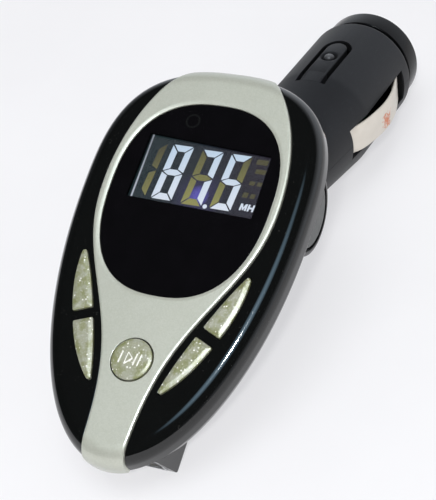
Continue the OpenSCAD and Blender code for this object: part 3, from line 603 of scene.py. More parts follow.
def bar_shapes():
    w, h, t, g = digit_w, digit_h, bar_w, bar_gap
    mid = h / 2
    return {
        "top": [(g * 2.4, h), (w - g * 2.4, h), (w - t - g * 0.4, h - t + g), (t + g * 0.4, h - t + g)],
        "bottom": [(g * 2.4, 0), (t + g * 0.4, t - g), (w - t - g * 0.4, t - g), (w - g * 2.4, 0)],
        "middle": [(g * 2.6, mid), (t, mid + t / 2 - g), (w - t, mid + t / 2 - g), (w - g * 2.6, mid),
                   (w - t, mid - t / 2 + g), (t, mid - t / 2 + g)],
        "upper_left": [(0, h - g * 2.4), (t - g, h - t - g * 1.4), (t - g, mid + t / 2 + g * 1.2),
                       (0, mid + g * 2.2)],
        "upper_right": [(w, h - g * 2.4), (w, mid + g * 2.2), (w - t + g, mid + t / 2 + g * 1.2),
                        (w - t + g, h - t - g * 1.4)],
        "lower_left": [(0, mid - g * 2.2), (t - g, mid - t / 2 - g * 1.2), (t - g, t + g * 1.4), (0, g * 2.4)],
        "lower_right": [(w, mid - g * 2.2), (w, g * 2.4), (w - t + g, t + g * 1.4),
                        (w - t + g, mid - t / 2 - g * 1.2)],
    }


def skinned(rings):
    """A closed solid through rings of one count, each anticlockwise as seen from the first one's side."""
    n = len(rings[0])
    last = (len(rings) - 1) * n
    faces = [tuple(range(n)), tuple(range(last + n - 1, last - 1, -1))]
    faces += [(k + i, k + n + i, k + n + (i + 1) % n, k + (i + 1) % n) for k in range(0, last, n) for i in range(n)]
    return np.vstack(rings), faces


def at_height(ring, z):
    return np.column_stack([ring, np.full(len(ring), z)])


def prism(ring, top, low):
    return skinned([at_height(ring, top), at_height(ring, low)])


def flat_bar(points, thick=0.05):
    foot = -lcd_top + 0.002
    return prism(anticlockwise(points), foot + thick, foot)


def leaning(points, x, y):
    return [(x + px + (py - digit_h / 2) * lean, y + py) for px, py in points]


shapes = bar_shapes()
lit_by_digit = {  # left edge at half height, foot, the bars that are lit
    (-7.25, 0.27): ("top", "bottom", "middle", "upper_left", "upper_right", "lower_left", "lower_right"),
    (-1.73, 0.1): ("top", "upper_right", "lower_right"),
    (3.55, 0.08): ("top", "bottom", "middle", "upper_left", "lower_right"),
}
lit, unlit = [], []
for (x, y), on in lit_by_digit.items():
    for name, points in shapes.items():
        (lit if name in on else unlit).append(flat_bar(leaning(points, x, y)))
for name in ("upper_right", "lower_right"):
    unlit.append(flat_bar(leaning(shapes[name], -9.0 - digit_w + 0.6, 0.3)))
lit.append(flat_bar(circle(2.3, 0.22, 0.38, 20)))
h, t = 1.2, 0.29
letters = (
    (8.3, [(0, 0), (0, h), (t * 1.2, h), (0.6, h * 0.45), (1.2 - t * 1.2, h), (1.2, h), (1.2, 0), (1.2 - t, 0),
           (1.2 - t, h * 0.62), (0.7, 0.1), (0.5, 0.1), (t, h * 0.62), (t, 0)]),
    (9.68, [(0, 0), (0, h), (t, h), (t, h * 0.62), (1.1 - t, h * 0.62), (1.1 - t, h), (1.1, h), (1.1, 0),
            (1.1 - t, 0), (1.1 - t, h * 0.36), (t, h * 0.36), (t, 0)]),
    (10.95, [(0, 0), (0, 0.2), (0.38, 0.64), (0, 0.64), (0, 0.84), (0.7, 0.84), (0.7, 0.66), (0.3, 0.2), (0.7, 0.2),
             (0.7, 0)]))
for x, points in letters:
    lit.append(flat_bar([(x + px + py * lean, 0.55 + py) for px, py in points]))
for x, y, w, h in ((9.7, 9.4, 2.0, 0.9), (9.9, 7.7, 1.8, 0.8), (9.1, 5.5, 0.9, 0.7), (10.4, 5.5, 0.8, 0.7),
                   (8.6, 3.3, 0.9, 0.9), (9.9, 3.25, 0.8, 0.8)):
    unlit.append(flat_bar([(x + a * w / 2 + b * 0.05, y + b * h / 2)
                           for a, b in ((-1, -1), (1, -1), (1, 1), (-1, 1))]))
lit_piece = piece("display_bars_lit", joined(*lit), head_space,
                  lit_bar("lit_bars", colour(246, 250, 255), colour(208, 228, 242), 1.35))
unlit_piece = piece("display_bars_dark", joined(*unlit), head_space,
                    lit_bar("dark_bars", colour(176, 172, 100), colour(92, 88, 56), 1.15, 1.0))
for made in (lit_piece, unlit_piece):
    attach(made, "head")

# Light guide behind the display: a milky acrylic block, frosted on its face.
# It is carried over from the frame and glued to the board.
def milky_acrylic():
    f = Finish("milky_acrylic")
    cloud = f.noise(0.4, 4.0)
    dots = f.cells(1.2)
    return f.done(f.body(
        Base_Color=f.mix(cloud, colour(228, 231, 234), colour(240, 241, 243)), Roughness=0.4 + cloud * 0.15,
        Normal=f.bump(dots.ramp(0.1, 0.35), 0.3, 0.05)))


def dressed(material, *names):
    """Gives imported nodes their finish."""
    for name in names:
        mesh = frame["nodes"][name].data
        mesh.materials.clear()
        mesh.materials.append(material)
        mesh.polygons.foreach_set("material_index", [0] * len(mesh.polygons))


dressed(milky_acrylic(), "backlight")


# Four crescent keys, moulded in a pearly silver with a frosted grain.
# Each has a wide sloped edge, a flange under the shell and a stem over its switch.
key_proud, key_travel, flange_t, board_depth = 0.5, 0.4, 0.8, 6.6
stem_end = board_depth - 1.6 - 0.5 - key_travel - seat
bevel_w, stem_bow, stem_r = 0.74, 1.35, 1.3


def pearl_silver():
    f = Finish("pearl_silver")
    frost = f.noise(2.6, 3.0, 0.7)
    blot = f.noise(0.62, 3.0)
    flake = f.node("ShaderNodeSeparateColor", {}, {0: f.cells(1.7, "Color")}, 0)
    spark = (flake > 0.62) * f.cells(1.7).ramp(0.12, 0.32, 1, 0) * frost.ramp(0.38, 0.5)
    base = f.mix(blot.ramp(0.4, 0.6), colour(122, 126, 84), colour(148, 150, 132))
    base = f.mix(frost.ramp(0.52, 0.72) * 0.75, base, colour(182, 183, 176))
    base = f.mix(spark, base, colour(252, 252, 248))
    return f.done(f.body(
        Base_Color=base, Metallic=0.15, Roughness=0.3 + frost * 0.16 - spark * 0.1, IOR=1.6, Coat_Weight=1.0,
        Coat_Roughness=0.34, Normal=f.bump(frost + spark * 0.6, 0.5, 0.07)))


def inner_lines(outline, inset):
    """The parts of a moved outline that don't fold over, as open lines."""
    ring = moved(outline, inset)
    good = inside(ring, [outline]) & (gap_to(ring, outline) > inset - 0.015)
    if good.all():
        return [np.vstack([ring, ring[:1]])]
    first = int(np.argmin(good))
    order = np.roll(np.arange(len(ring)), -first)
    lines, run = [], []
    for i in order:
        if good[i]:
            run.append(ring[i])
        elif run:
            lines.append(np.array(run))
            run = []
    return [l for l in [*lines, np.array(run)] if len(l) > 1]


def post(x, y, high, low, r, count=32):
    """A round post with soft ends."""
    ring = circle(x, y, r, count)
    return plate([ring], [moved(ring, 0.1)], lambda p: high - eased(gap_to(p, ring), 0.1),
                 lambda p: np.full(len(p), low))


pearl = pearl_silver()
key_at = 0.29 * chord
for name, (side, upper) in key_names.items():
    outline = key_loop(side, upper, 0.07, -0.06)

    def key_height(p):
        gap = gap_to(p, outline)
        return key_proud - bevelled(gap, bevel_w) - eased(gap, 0.06) * 0.6

    ends = (0.2, (chord - key_split) / 2 - bevel_w) if upper else ((chord + key_split) / 2 + bevel_w, chord - 0.2)
    spine = np.array([key_top + along * t + across * (bow_out - bow_in) / 2 * (1 - abs(2 * t / chord - 1) ** blunt)
                      for t in np.linspace(*ends, 30)]) * (side, 1)
    cap = plate([outline], [], key_height, lambda p: np.full(len(p), -plate_t - key_travel - seat),
                [l for g in (0.03, 0.06, 0.4, bevel_w, bevel_w + 0.02) for l in inner_lines(outline, g)] + [spine])
    rim = key_loop(side, upper, -0.5, 0.6)
    flange = plate([rim], [moved(rim, 0.1)], lambda p: -plate_t - seat - eased(gap_to(p, rim), 0.1),
                   lambda p: np.full(len(p), -plate_t - seat - flange_t))
    centre = key_top + along * (key_at if upper else chord - key_at) + across * stem_bow * 2 * 0.29 * 0.71
    stem = post(side * centre[0], centre[1], -plate_t - flange_t, -stem_end, stem_r)
    made = piece(name + "_cap", joined(cap, flange, stem), head_space, pearl, 28)
    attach(made, name)
    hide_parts(name)


# Round play key, of the same pearly moulding, in the middle of the band.
# Its raised strokes stand on a slightly domed top.
play_rim = circle(0, play_y, play_r, 120)
play_proud, play_dome, play_bevel, play_lip = band_proud + 0.3, 0.04, 0.5, 0.7


def play_height(p):
    r = np.linalg.norm(p - (0, play_y), axis=1)
    domed = play_proud + play_dome * (1 - (r / play_r) ** 2)
    return domed - bevelled(play_r - r, play_bevel) - eased(play_r - r, 0.06) * 0.6


def stroke(x0, y0, x1, y1, w):
    """A raised round-ended bar on the play key."""
    a, b = np.array((x0, y0)), np.array((x1, y1))
    run = (b - a) / np.linalg.norm(b - a)
    side = np.array((-run[1], run[0]))
    ring = anticlockwise([end + w / 2 * way * (side * math.cos(t) - run * math.sin(t)) + (0, play_y)
                          for end, way in ((a, 1), (b, -1)) for t in np.linspace(0, math.pi, 9)])

    def high(p):
        return play_height(p) + 0.03 + np.minimum(0.09, gap_to(p, ring) * 1.2)
    return plate([ring], [moved(ring, w * 0.25)], high, lambda p: play_height(p) + 0.002)


play_rings = [circle(0, play_y, play_r - g, 120)
              for g in (0.03, 0.06, 0.3, play_bevel, play_bevel + 0.02, 0.8, 1.2, 1.9, 2.7)]
play_cap = plate([play_rim], play_rings, play_height, lambda p: np.full(len(p), -plate_t - seat - flange_t))
play_flange = post(0, play_y, -plate_t - seat, -plate_t - seat - flange_t, play_r + play_lip, 96)
play_stem = post(0, play_y, -plate_t - flange_t, -stem_end, stem_r)
play_piece = piece("play_key_cap", joined(play_cap, play_flange, play_stem), head_space, pearl, 24)
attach(play_piece, "play_key")
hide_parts("play_key")


def polished_marks():
    f = Finish("polished_marks")
    nick = f.noise(3.0, 3.0)
    base = f.mix(nick.ramp(0.4, 0.7), colour(250, 250, 247), colour(224, 224, 216))
    return f.done(f.body(Base_Color=base, Metallic=0.2, Roughness=0.25 + nick * 0.15, IOR=1.5,
                         Normal=f.bump(nick, 0.2, 0.03)))


strokes = [stroke(-1.98, -0.85, -1.75, 0.95, 0.25), stroke(-0.95, -0.9, -0.75, 0.95, 0.14),
           stroke(-0.68, 0.95, 0.2, 0.15, 0.14), stroke(0.16, 0.04, -0.88, -0.92, 0.26),
           stroke(0.62, -0.9, 0.85, 0.9, 0.24), stroke(1.38, -0.9, 1.6, 0.9, 0.24)]
marks_piece = piece("play_key_marks", joined(*strokes), head_space, polished_marks(), 28)
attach(marks_piece, "play_key")


# Main board: green glass-fibre laminate with copper tracks under the mask.
# It hangs on the shell's posts and carries the display, switches and chips.
def circuit_board(name, space):
    f = Finish(name, space)
    x, y, z = f.axes()
    weave = f.node("ShaderNodeTexWave", {"wave_type": "BANDS"}, {"Vector": f.place, "Scale": 1.6, "Distortion": 0.6})
    lanes = f.cells(0.42, "Distance", f.stretched(1.0, 0.35, 1.0))
    tracks = lanes.ramp(0.28, 0.3) * lanes.ramp(0.36, 0.38, 1, 0)
    pads = f.cells(0.55) < 0.12
    mask = f.mix(weave * 0.3, colour(10, 70, 38), colour(18, 92, 52))
    base = f.mix(tracks * 0.8, mask, colour(44, 122, 62))
    base = f.mix(pads, base, colour(208, 196, 168))
    return f.done(f.body(
        Base_Color=base, Metallic=pads * 0.9, Roughness=0.32 + weave * 0.08, IOR=1.5, Coat_Weight=0.2,
        Normal=f.bump(tracks + pads, 0.4, 0.03)))


dressed(circuit_board("main_board_mask", head_space), "main_board")


# Five push switches: a folded tin can round a grey plunger.
# They are soldered to the board under the keys' stems.
def stamped_metal(name, space, tone, rough, metal=1.0, streak=(1.0, 12.0, 1.0)):
    """Sheet or turned metal with its drawing lines and a little tarnish."""
    f = Finish(name, space)
    lines = f.noise(1.2, 5.0, at=f.stretched(*streak))
    tarnish = f.noise(0.35, 3.0).ramp(0.45, 0.75)
    base = f.mix(tarnish * 0.4, tone, tuple(v * 0.62 for v in tone))
    base = f.mix(lines.ramp(0.5, 0.8) * 0.2, base, tuple(min(v * 1.2, 1) for v in tone))
    return f.done(f.body(
        Base_Color=base, Metallic=metal, Roughness=rough + lines * 0.14 + tarnish * 0.12,
        Normal=f.bump(lines, 0.22, 0.03)))


def switch_metal():
    f = Finish("switch_can")
    x, y, z = f.axes()
    lines = f.noise(1.2, 4.0, at=f.stretched(1.0, 9.0, 1.0))
    knob = z > -board_depth + 1.6 + 0.02
    base = f.mix(knob, f.mix(lines, colour(150, 152, 156), colour(186, 188, 192)), colour(52, 53, 56))
    return f.done(f.body(Base_Color=base, Metallic=1 - knob, Roughness=0.3 + lines * 0.15 + knob * 0.2,
                         Normal=f.bump(lines, 0.15, 0.03)))


dressed(switch_metal(), "switch_upper_left", "switch_upper_right", "switch_lower_left", "switch_lower_right",
        "switch_play")


# Infrared eye: a domed receiver in deep red-black epoxy.
# It looks out through the window above the display.
def eye_epoxy():
    f = Finish("eye_epoxy")
    swirl = f.noise(1.5, 3.0)
    return f.done(f.body(Base_Color=f.mix(swirl, colour(26, 12, 16), colour(40, 18, 24)), Coat_Weight=0.4,
                         Roughness=0.12 + swirl * 0.1, Normal=f.bump(swirl, 0.1, 0.03)))


dressed(eye_epoxy(), "infrared_eye")


# Two chips in matt epoxy with tinned legs, and a crystal in its drawn can.
# All three are soldered to the back of the board.
def chip_epoxy(name, centre_x, half_w, space=head_space):
    f = Finish(name, space)
    x, y, z = f.axes()
    leg = abs(x - centre_x) > half_w + 0.02
    grain = f.noise(6.0, 4.0)
    epoxy = f.mix(grain, colour(28, 28, 30), colour(46, 46, 48))
    return f.done(f.body(Base_Color=f.mix(leg, epoxy, colour(192, 193, 192)), Metallic=leg * 1.0,
                         Roughness=0.55 + grain * 0.15 - leg * 0.28, Normal=f.bump(grain, 0.35, 0.03)))


dressed(chip_epoxy("control_chip_epoxy", -5.5, 2.6), "control_chip")
dressed(chip_epoxy("radio_chip_epoxy", 5.8, 1.95), "radio_chip")
dressed(stamped_metal("crystal_can", head_space, colour(196, 197, 200), 0.22), "crystal")


# Socket for a memory stick: bright folded steel round a moulded blade.
# It opens at the head's narrow end.
def blade_plastic():
    f = Finish("blade_plastic")
    x, y, z = f.axes()
    speck = f.noise(4.0, 3.0)
    lanes = abs((x / 2.5 + 10.0).maths("FRACT", x / 2.5 + 10.0) - 0.5) < 0.2
    strip = lanes * (abs(x) < 4.9) * (y > -40.2) * (y < -33.4)
    base = f.mix(strip, f.mix(speck, colour(226, 226, 224), colour(240, 240, 238)), colour(212, 176, 98))
    return f.done(f.body(Base_Color=base, Metallic=strip * 1.0, Roughness=0.42 + speck * 0.1 - strip * 0.15,
                         Normal=f.bump(speck * 0.2 + strip, 0.4, 0.05)))


dressed(stamped_metal("socket_steel", head_space, colour(206, 207, 210), 0.2), "usb_socket")
dressed(blade_plastic(), "usb_blade")


# Back shell: the satin black lower half, with the two ears of the hinge
# and the housing of the socket moulded on. Three screws hold it.
back_inset, shell_back, head_depth = 8.5, 12.7, 13.0
ear_in, ear_out, ear_r, cap_t, cap_gap, cap_r = 8.3, 11.1, 7.9, 0.9, 0.6, 6.4
inset_shares = [0.04, 0.09, 0.2, 0.4, 0.7, 1]
depth_shares = [0, 0.2, 0.43, 0.66, 0.87, 1]


def back_profile(inward, steps=20):
    """Insets and heights from the rim to the flat back, as one smooth curve."""
    at = np.linspace(0, 1, steps)
    t = np.array(depth_shares)
    s = np.array(inset_shares)
    slope = np.gradient(s, t)
    share = []
    for u in at:
        i = min(np.searchsorted(t, u, "right") - 1, len(t) - 2)
        h = t[i + 1] - t[i]
        k = (u - t[i]) / h
        share.append((2 * k ** 3 - 3 * k ** 2 + 1) * s[i] + (k ** 3 - 2 * k ** 2 + k) * h * slope[i]
                     + (3 * k ** 2 - 2 * k ** 3) * s[i + 1] + (k ** 3 - k ** 2) * h * slope[i + 1])
    low = shell_back - inward - rim_depth - seat
    return [(back_inset * sh + inward, -rim_depth - seat - low * u) for sh, u in zip(share, at)]


def egg_ring(inset):
    return moved(resampled(egg, 0.7), inset)


def lesser_egg(inset):
    """A smaller egg that stays clear of itself where the inset is deep."""
    fine = oval(head_half_w - inset, head_up - inset, head_down - inset, egg_powers[1], egg_powers[-1], step=0.05)
    return fine[np.linspace(0, len(fine), 280, endpoint=False).astype(int)]


def lofted(levels, ring_at):
    """A closed solid from insets and heights, from the top down."""
    return skinned([at_height(ring_at(inset), z) for inset, z in levels])


def across_head(outline, x0, x1, soft_side=0.0, recess=None):
    """A plate drawn in the head's y-z plane, with thickness along x."""
    ring = anticlockwise(outline)

    def high(p):
        top = x1 - (eased(gap_to(p, ring), soft_side) if soft_side else np.zeros(len(p)))
        if recess:
            cy, cz, r, drop = recess
            away = np.hypot(p[:, 0] - cy, p[:, 1] - cz)
            top = np.where(away < r, x1 - drop, top - eased(np.abs(away - r), 0.15))
        return top
    shaping = [moved(ring, g * soft_side) for g in (0.08, 0.3, 1)] if soft_side else []
    if recess:
        cy, cz, r, drop = recess
        shaping += [circle(cy, cz, r + g, 96) for g in (-0.01, 0.01, 0.05, 0.15)]
    verts, faces = plate([ring], shaping, high, lambda p: np.full(len(p), x0))
    return np.column_stack([verts[:, 2], verts[:, 0], verts[:, 1]]), faces


def blank(part):
    mesh = bpy.data.meshes.new("blank")
    mesh.from_pydata([tuple(v) for v in part[0]], [], part[1])
    return linked("blank", mesh)


def cut(name, solid, *steps):
    """A solid after joining or cutting other solids, as a mesh in its own millimetres."""
    base = blank(solid)
    tools = []
    for way, part in steps:
        tool = blank(part)
        step = base.modifiers.new(way, "BOOLEAN")
        step.operation, step.solver, step.object = way, "EXACT", tool
        tools.append(tool)
    bpy.context.view_layer.update()
    mesh = bpy.data.meshes.new_from_object(base.evaluated_get(bpy.context.evaluated_depsgraph_get()))
    for used in [base, *tools]:
        blank_mesh = used.data
        bpy.data.objects.remove(used)
        bpy.data.meshes.remove(blank_mesh)
    mesh.name = name
    return mesh


def rod(centre, r, z0, z1, count=64, axis=2):
    """A cylinder along one of the axes."""
    ring = circle(0, 0, r, count)
    verts = np.roll(np.vstack([at_height(ring, z0), at_height(ring, z1)]), axis + 1, 1)
    for k in {0, 1, 2} - {axis}:
        verts[:, k] += centre[k]
    faces = [tuple(range(count - 1, -1, -1)), tuple(range(count, 2 * count))]
    return verts, faces + [(i, (i + 1) % count, (i + 1) % count + count, i + count) for i in range(count)]


def brick(x0, x1, y0, y1, z0, z1):
    return prism(anticlockwise([(x0, y0), (x1, y0), (x1, y1), (x0, y1)]), z1, z0)


def ear_loop():
    points = [(hinge_y + ear_r * math.cos(a), -hinge_depth + ear_r * math.sin(a))
              for a in np.linspace(math.pi, 2 * math.pi, 61)]
    web_high, web_low, root = hinge_y + ear_r - 2.2, hinge_y - ear_r - 3, -(rim_depth + head_depth) / 2
    return points + [(hinge_y + ear_r - 0.1, -hinge_depth + 1.5), (web_high, root), (web_low, root),
                     (hinge_y - ear_r - 0.1, -hinge_depth + 1.0)]


def housing_loop():
    return [(-42.2, -rim_depth - 0.15), (-41.25, -12.4), (-41.1, -12.85), (-40.8, -head_depth),
            (-25.2, -head_depth), (-25.2, -rim_depth - 0.15)]


def satin_black():
    f = Finish("satin_black")
    grain = f.noise(9.0, 2.0)
    flow = f.noise(0.15, 2.0)
    rub = f.noise(2.0, 4.0, at=f.stretched(0.6, 5.0, 1.0)).ramp(0.62, 0.8)
    base = f.mix(rub * 0.25, f.mix(flow, colour(15, 15, 17), colour(24, 24, 26)), colour(70, 70, 72))
    return f.done(f.body(Base_Color=base, Roughness=0.16 + grain * 0.08 + rub * 0.12, IOR=1.5, Coat_Weight=0.15,
                         Coat_Roughness=0.1, Normal=f.bump(grain + flow, 0.12, 0.02)))


shell_black = satin_black()
outside = lofted(back_profile(0), egg_ring)
hollow = lofted([(back_profile(wall)[0][0], -rim_depth + 1)] + back_profile(wall), lesser_egg)
ears = [across_head(ear_loop(), ear_in, ear_out, 0.5, (hinge_y, -hinge_depth, cap_r + cap_gap, cap_t))]
ears.append((ears[0][0] * (-1, 1, 1), [f[::-1] for f in ears[0][1]]))
usb_top, usb_w, usb_h, usb_mouth, usb_back = 5.3, 13.1, 5.9, -39.6, -24.9
usb_room = (-usb_w / 2 - seat, usb_w / 2 + seat)
screw_places = ((-5.8, 18.2), (5.8, 18.2), (0, -21.2))
sink_r, shank_r, pin_r = 2.02, 1.06, 2.05
bosses = []
for place in screw_places:
    short = cut("boss", rod(place, 2.4, -13.5, -7.85, 40), ("INTERSECT", lofted(back_profile(0.6), lesser_egg)))
    bosses.append((np.array([v.co for v in short.vertices]), [tuple(p.vertices) for p in short.polygons]))
shell_mesh = cut(
    "back_shell_moulding", outside, ("UNION", across_head(housing_loop(), -7.4, 7.4)),
    ("UNION", ears[0]), ("UNION", ears[1]), ("DIFFERENCE", hollow),
    ("DIFFERENCE", brick(*usb_room, usb_mouth, usb_back, -usb_top - usb_h - seat, -3.1)),
    *[("UNION", boss) for boss in bosses],
    ("DIFFERENCE", brick(*usb_room, -45, -38, -usb_top - usb_h - seat, -usb_top + seat)),
    *[("DIFFERENCE", rod(place, sink_r, -14.0, -9.7, 48)) for place in screw_places],
    *[("DIFFERENCE", rod(place, shank_r, -12.0, -6.5, 32)) for place in screw_places],
    ("DIFFERENCE", rod((0, hinge_y, -hinge_depth), pin_r, -12, 12, 64, 0)))


def moulding(mesh, space, material):
    """A cut mesh with its finish, set in its place."""
    mesh.transform(space)
    mesh.materials.clear()
    mesh.materials.append(material)
    return placed(mesh.name, mesh)


shell_piece = moulding(shell_mesh, head_space, shell_black)
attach(shell_piece, "head")
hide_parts("back_shell")


# Four cross-head screws: three hold the head together, one the plug's halves.
# They are rolled steel with a dull zinc plating.
def screw_zinc(name, space):
    return stamped_metal(name, space, colour(128, 130, 134), 0.3, 1.0, (3.0, 3.0, 9.0))


dressed(screw_zinc("head_screw_zinc", head_space), "screw_left", "screw_right", "screw_low")
dressed(screw_zinc("neck_screw_zinc", plug_space), "neck_screw")


# Hinge pin: a ground steel rod through the ears and the knuckle.
# Two spring washers beside the knuckle give the hinge its friction.
dressed(stamped_metal("pin_steel", head_space, colour(182, 184, 186), 0.18, 1.0, (1.0, 9.0, 9.0)), "hinge_pin")
dressed(stamped_metal("washer_steel", plug_space, colour(196, 197, 198), 0.24), "washer_left", "washer_right")


# Ear caps: grey round covers pressed into the ears over the pin's ends.
# Turned shapes such as these come from one tree, which spins a profile.
def started_tree(name, inputs):
    """A tree with its named inputs, a call that adds nodes to it, and the inputs' identifiers."""
    tree = bpy.data.node_groups.new(name, "GeometryNodeTree")
    tree.is_modifier = True
    ids = {label: tree.interface.new_socket(label, in_out="INPUT", socket_type="NodeSocket" + kind).identifier
           for label, kind in inputs.items()}
    tree.interface.new_socket("Solid", in_out="OUTPUT", socket_type="NodeSocketGeometry")
    inlet = tree.nodes.new("NodeGroupInput")

    def add(kind, values):
        node = tree.nodes.new(kind)
        for key, value in values.items():
            source = inlet.outputs[value] if isinstance(value, str) else value
            if isinstance(source, bpy.types.NodeSocket):
                tree.links.new(source, node.inputs[key])
            else:
                node.inputs[key].default_value = source
        return node.outputs[0] if node.outputs else None
    return tree, add, ids


def finished_tree(add, solid):
    real = add("GeometryNodeRealizeInstances", {0: solid})
    add("NodeGroupOutput", {0: add("GeometryNodeSetMaterial", {0: real, "Material": "Finish"})})


turner, add, turner_ids = started_tree(
    "turned", {"Profile": "Geometry", "Steps": "Int", "Rail radius": "Float", "Finish": "Material"})
rail_circle = add("GeometryNodeCurvePrimitiveCircle", {"Resolution": "Steps", "Radius": "Rail radius"})
profile_line = add("GeometryNodeMeshToCurve", {0: "Profile"})
finished_tree(add, add("GeometryNodeCurveToMesh", {"Curve": rail_circle, "Profile Curve": profile_line}))


def evaluated(name, mesh, tree, values):
    """The plain mesh that a tree makes from a start mesh."""
    start = linked(name, mesh)
    step = start.modifiers.new("tree", "NODES")
    step.node_group = tree
    for key, value in values.items():
        step[key] = value
    bpy.context.view_layer.update()
    made = bpy.data.meshes.new_from_object(start.evaluated_get(bpy.context.evaluated_depsgraph_get()))
    start.modifiers.remove(step)
    bpy.data.objects.remove(start)
    return made


def settle(mesh, tiny):
    """Merges doubles and turns all faces outwards."""
    work = bmesh.new()
    work.from_mesh(mesh)
    bmesh.ops.remove_doubles(work, verts=work.verts, dist=tiny)
    bmesh.ops.dissolve_degenerate(work, edges=work.edges, dist=tiny / 2)
    bmesh.ops.recalc_face_normals(work, faces=work.faces)
    work.to_mesh(mesh)
    work.free()


def turned(name, profile, space, material, steps=96, sharp=32):
    """A solid turned about z from a closed profile of (radius, height), as a placed object."""
    rail = 30.0
    start = bpy.data.meshes.new(name)
    n = len(profile)
    start.from_pydata([(r - rail, -h, 0) for r, h in profile], [(i, (i + 1) % n) for i in range(n)], [])
    mesh = evaluated(name, start, turner, {
        turner_ids["Steps"]: steps, turner_ids["Rail radius"]: rail, turner_ids["Finish"]: material})
    mesh.transform(space)
    settle(mesh, 0.002 * MM)
    if not mesh.materials:
        mesh.materials.append(material)
    return placed(name, mesh, sharp)


def rounded(points, r, steps=5):
    """A closed profile with its corners rounded where a radius is given."""
    out = []
    n = len(points)
    for i, (p, radius) in enumerate(zip(points, r)):
        p = np.array(p, float)
        if not radius:
            out.append(tuple(p))
            continue
        a = np.array(points[i - 1], float) - p
        b = np.array(points[(i + 1) % n], float) - p
        la, lb = np.linalg.norm(a), np.linalg.norm(b)
        a, b = a / la, b / lb
        half = math.acos(max(-1, min(1, float(a @ b)))) / 2
        reach = min(radius / math.tan(half), la * 0.49, lb * 0.49)
        true_r = reach * math.tan(half)
        mid = (a + b) / np.linalg.norm(a + b)
        centre = p + mid * (true_r / math.sin(half))
        start, end = p + a * reach - centre, p + b * reach - centre
        sweep = math.atan2(start[0] * end[1] - start[1] * end[0], float(start @ end))
        for k in range(steps + 1):
            t = sweep * k / steps
            out.append((centre[0] + start[0] * math.cos(t) - start[1] * math.sin(t),
                        centre[1] + start[0] * math.sin(t) + start[1] * math.cos(t)))
    return out


def grey_plastic():
    f = Finish("grey_plastic")
    grain = f.noise(8.0, 3.0)
    cloud = f.noise(0.3, 2.0)
    rub = f.noise(1.5, 4.0, at=f.stretched(1.0, 4.0, 1.0)).ramp(0.6, 0.8)
    base = f.mix(rub * 0.2, f.mix(cloud, colour(96, 98, 97), colour(106, 108, 107)), colour(140, 142, 140))
    return f.done(f.body(Base_Color=base, Roughness=0.4 + grain * 0.12, Normal=f.bump(grain, 0.25, 0.02)))


cap_grey = grey_plastic()
for side, name in ((-1, "left"), (1, "right")):
    stand = Matrix.Translation((side * (ear_out - cap_t + seat), hinge_y, -hinge_depth)) @ Matrix.Rotation(
        side * math.pi / 2, 4, "Y")
    profile = rounded([(0.002, 0), (cap_r, 0), (cap_r, cap_t), (0.002, cap_t - 0.05)], [0, 0, 0.3, 0])
    made = turned(f"ear_cap_{name}_cover", profile, head_space @ stand, cap_grey)
    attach(made, "head")
    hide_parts(f"ear_cap_{name}")


# Plug halves: charcoal moulding split along the barrel, one screw at the neck.
# The upper half has the tongue's slot, and both have the contacts' slots.
plug_r, plug_len, neck_r, neck_len, plug_wall, neck_start = 10.4, 51.8, 8.3, 30.0, 1.7, 9.0
knuckle_r, knuckle_half_w, thread_len, shoulder_r = 7.4, 7.9, 2.8, 1.5
thread_r = plug_r - plug_wall - 0.8
tongue_half, tongue_gap, tongue_start, tongue_end = 2.0, 0.95, 27.5, 43.5
leaf_w, leaf_start, leaf_end, room = 5.4, 23.3, 48.0, 0.3
barrel = rounded(
    [(0.001, 0), (neck_r, 0), (neck_r, neck_start + 1), (plug_r, neck_len), (plug_r, plug_len),
     (thread_r, plug_len), (thread_r, plug_len - thread_len), (plug_r - plug_wall, plug_len - thread_len - 0.85),
     (plug_r - plug_wall, neck_len), (7.125, 14.0), (0.001, 14.0)],
    [0, 0, 6, 14, shoulder_r, 0, 0, 0, 0, 0, 0], 8)


def half_turned(profile, start, end, steps=72):
    """Half of a turned solid about the plug's axis, between two angles in degrees."""
    return skinned([[(r * math.cos(a), y, r * math.sin(a)) for r, y in profile[::-1]]
                    for a in np.radians(np.linspace(start, end, steps + 1))])


def slot_line(half, start, end, count=25):
    """The tongue's outline: straight sides and a round end."""
    return np.array([(-half, start), (half, start)] + [
        (half * math.cos(a), end - half + half * math.sin(a)) for a in np.linspace(0, math.pi, count)])


def charcoal(name, crest_y=None):
    f = Finish(name, plug_space)
    grain = f.noise(7.0, 2.0, 0.6)
    cloud = f.noise(0.2, 3.0)
    rub = f.noise(1.1, 5.0, at=f.stretched(5.0, 0.5, 5.0)).ramp(0.6, 0.8)
    base = f.mix(cloud, colour(20, 21, 24), colour(27, 28, 32))
    base = f.mix(rub * 0.3, base, colour(60, 62, 65))
    x, y, z = f.axes()
    # Painted shade: below the barrel's surface (the slots' walls, the tongue's dish and the barrel's inside) the
    # colour is painted near black and the roughness raised.
    within = ((x * x + z * z) ** 0.5).ramp(plug_r - 0.4, plug_r - 0.05, 1, 0) * (y > neck_len + 1)
    base = f.mix(within * 0.9, base, colour(4, 4, 5))
    roughness = 0.42 + grain * 0.12 - rub * 0.06 + within * 0.4
    if crest_y:
        # The bump's crest is worn smoother, and a painted highlight lightens its colour there.
        polish_and_highlight = (x * x + (y - crest_y) ** 2).ramp(0.2, 1.1, 1, 0)
        roughness = roughness - polish_and_highlight * 0.28
        base = f.mix(polish_and_highlight * 0.5, base, colour(110, 112, 116))
    return f.done(f.body(Base_Color=base, Roughness=roughness, IOR=1.33, Normal=f.bump(grain, 0.3, 0.03)))


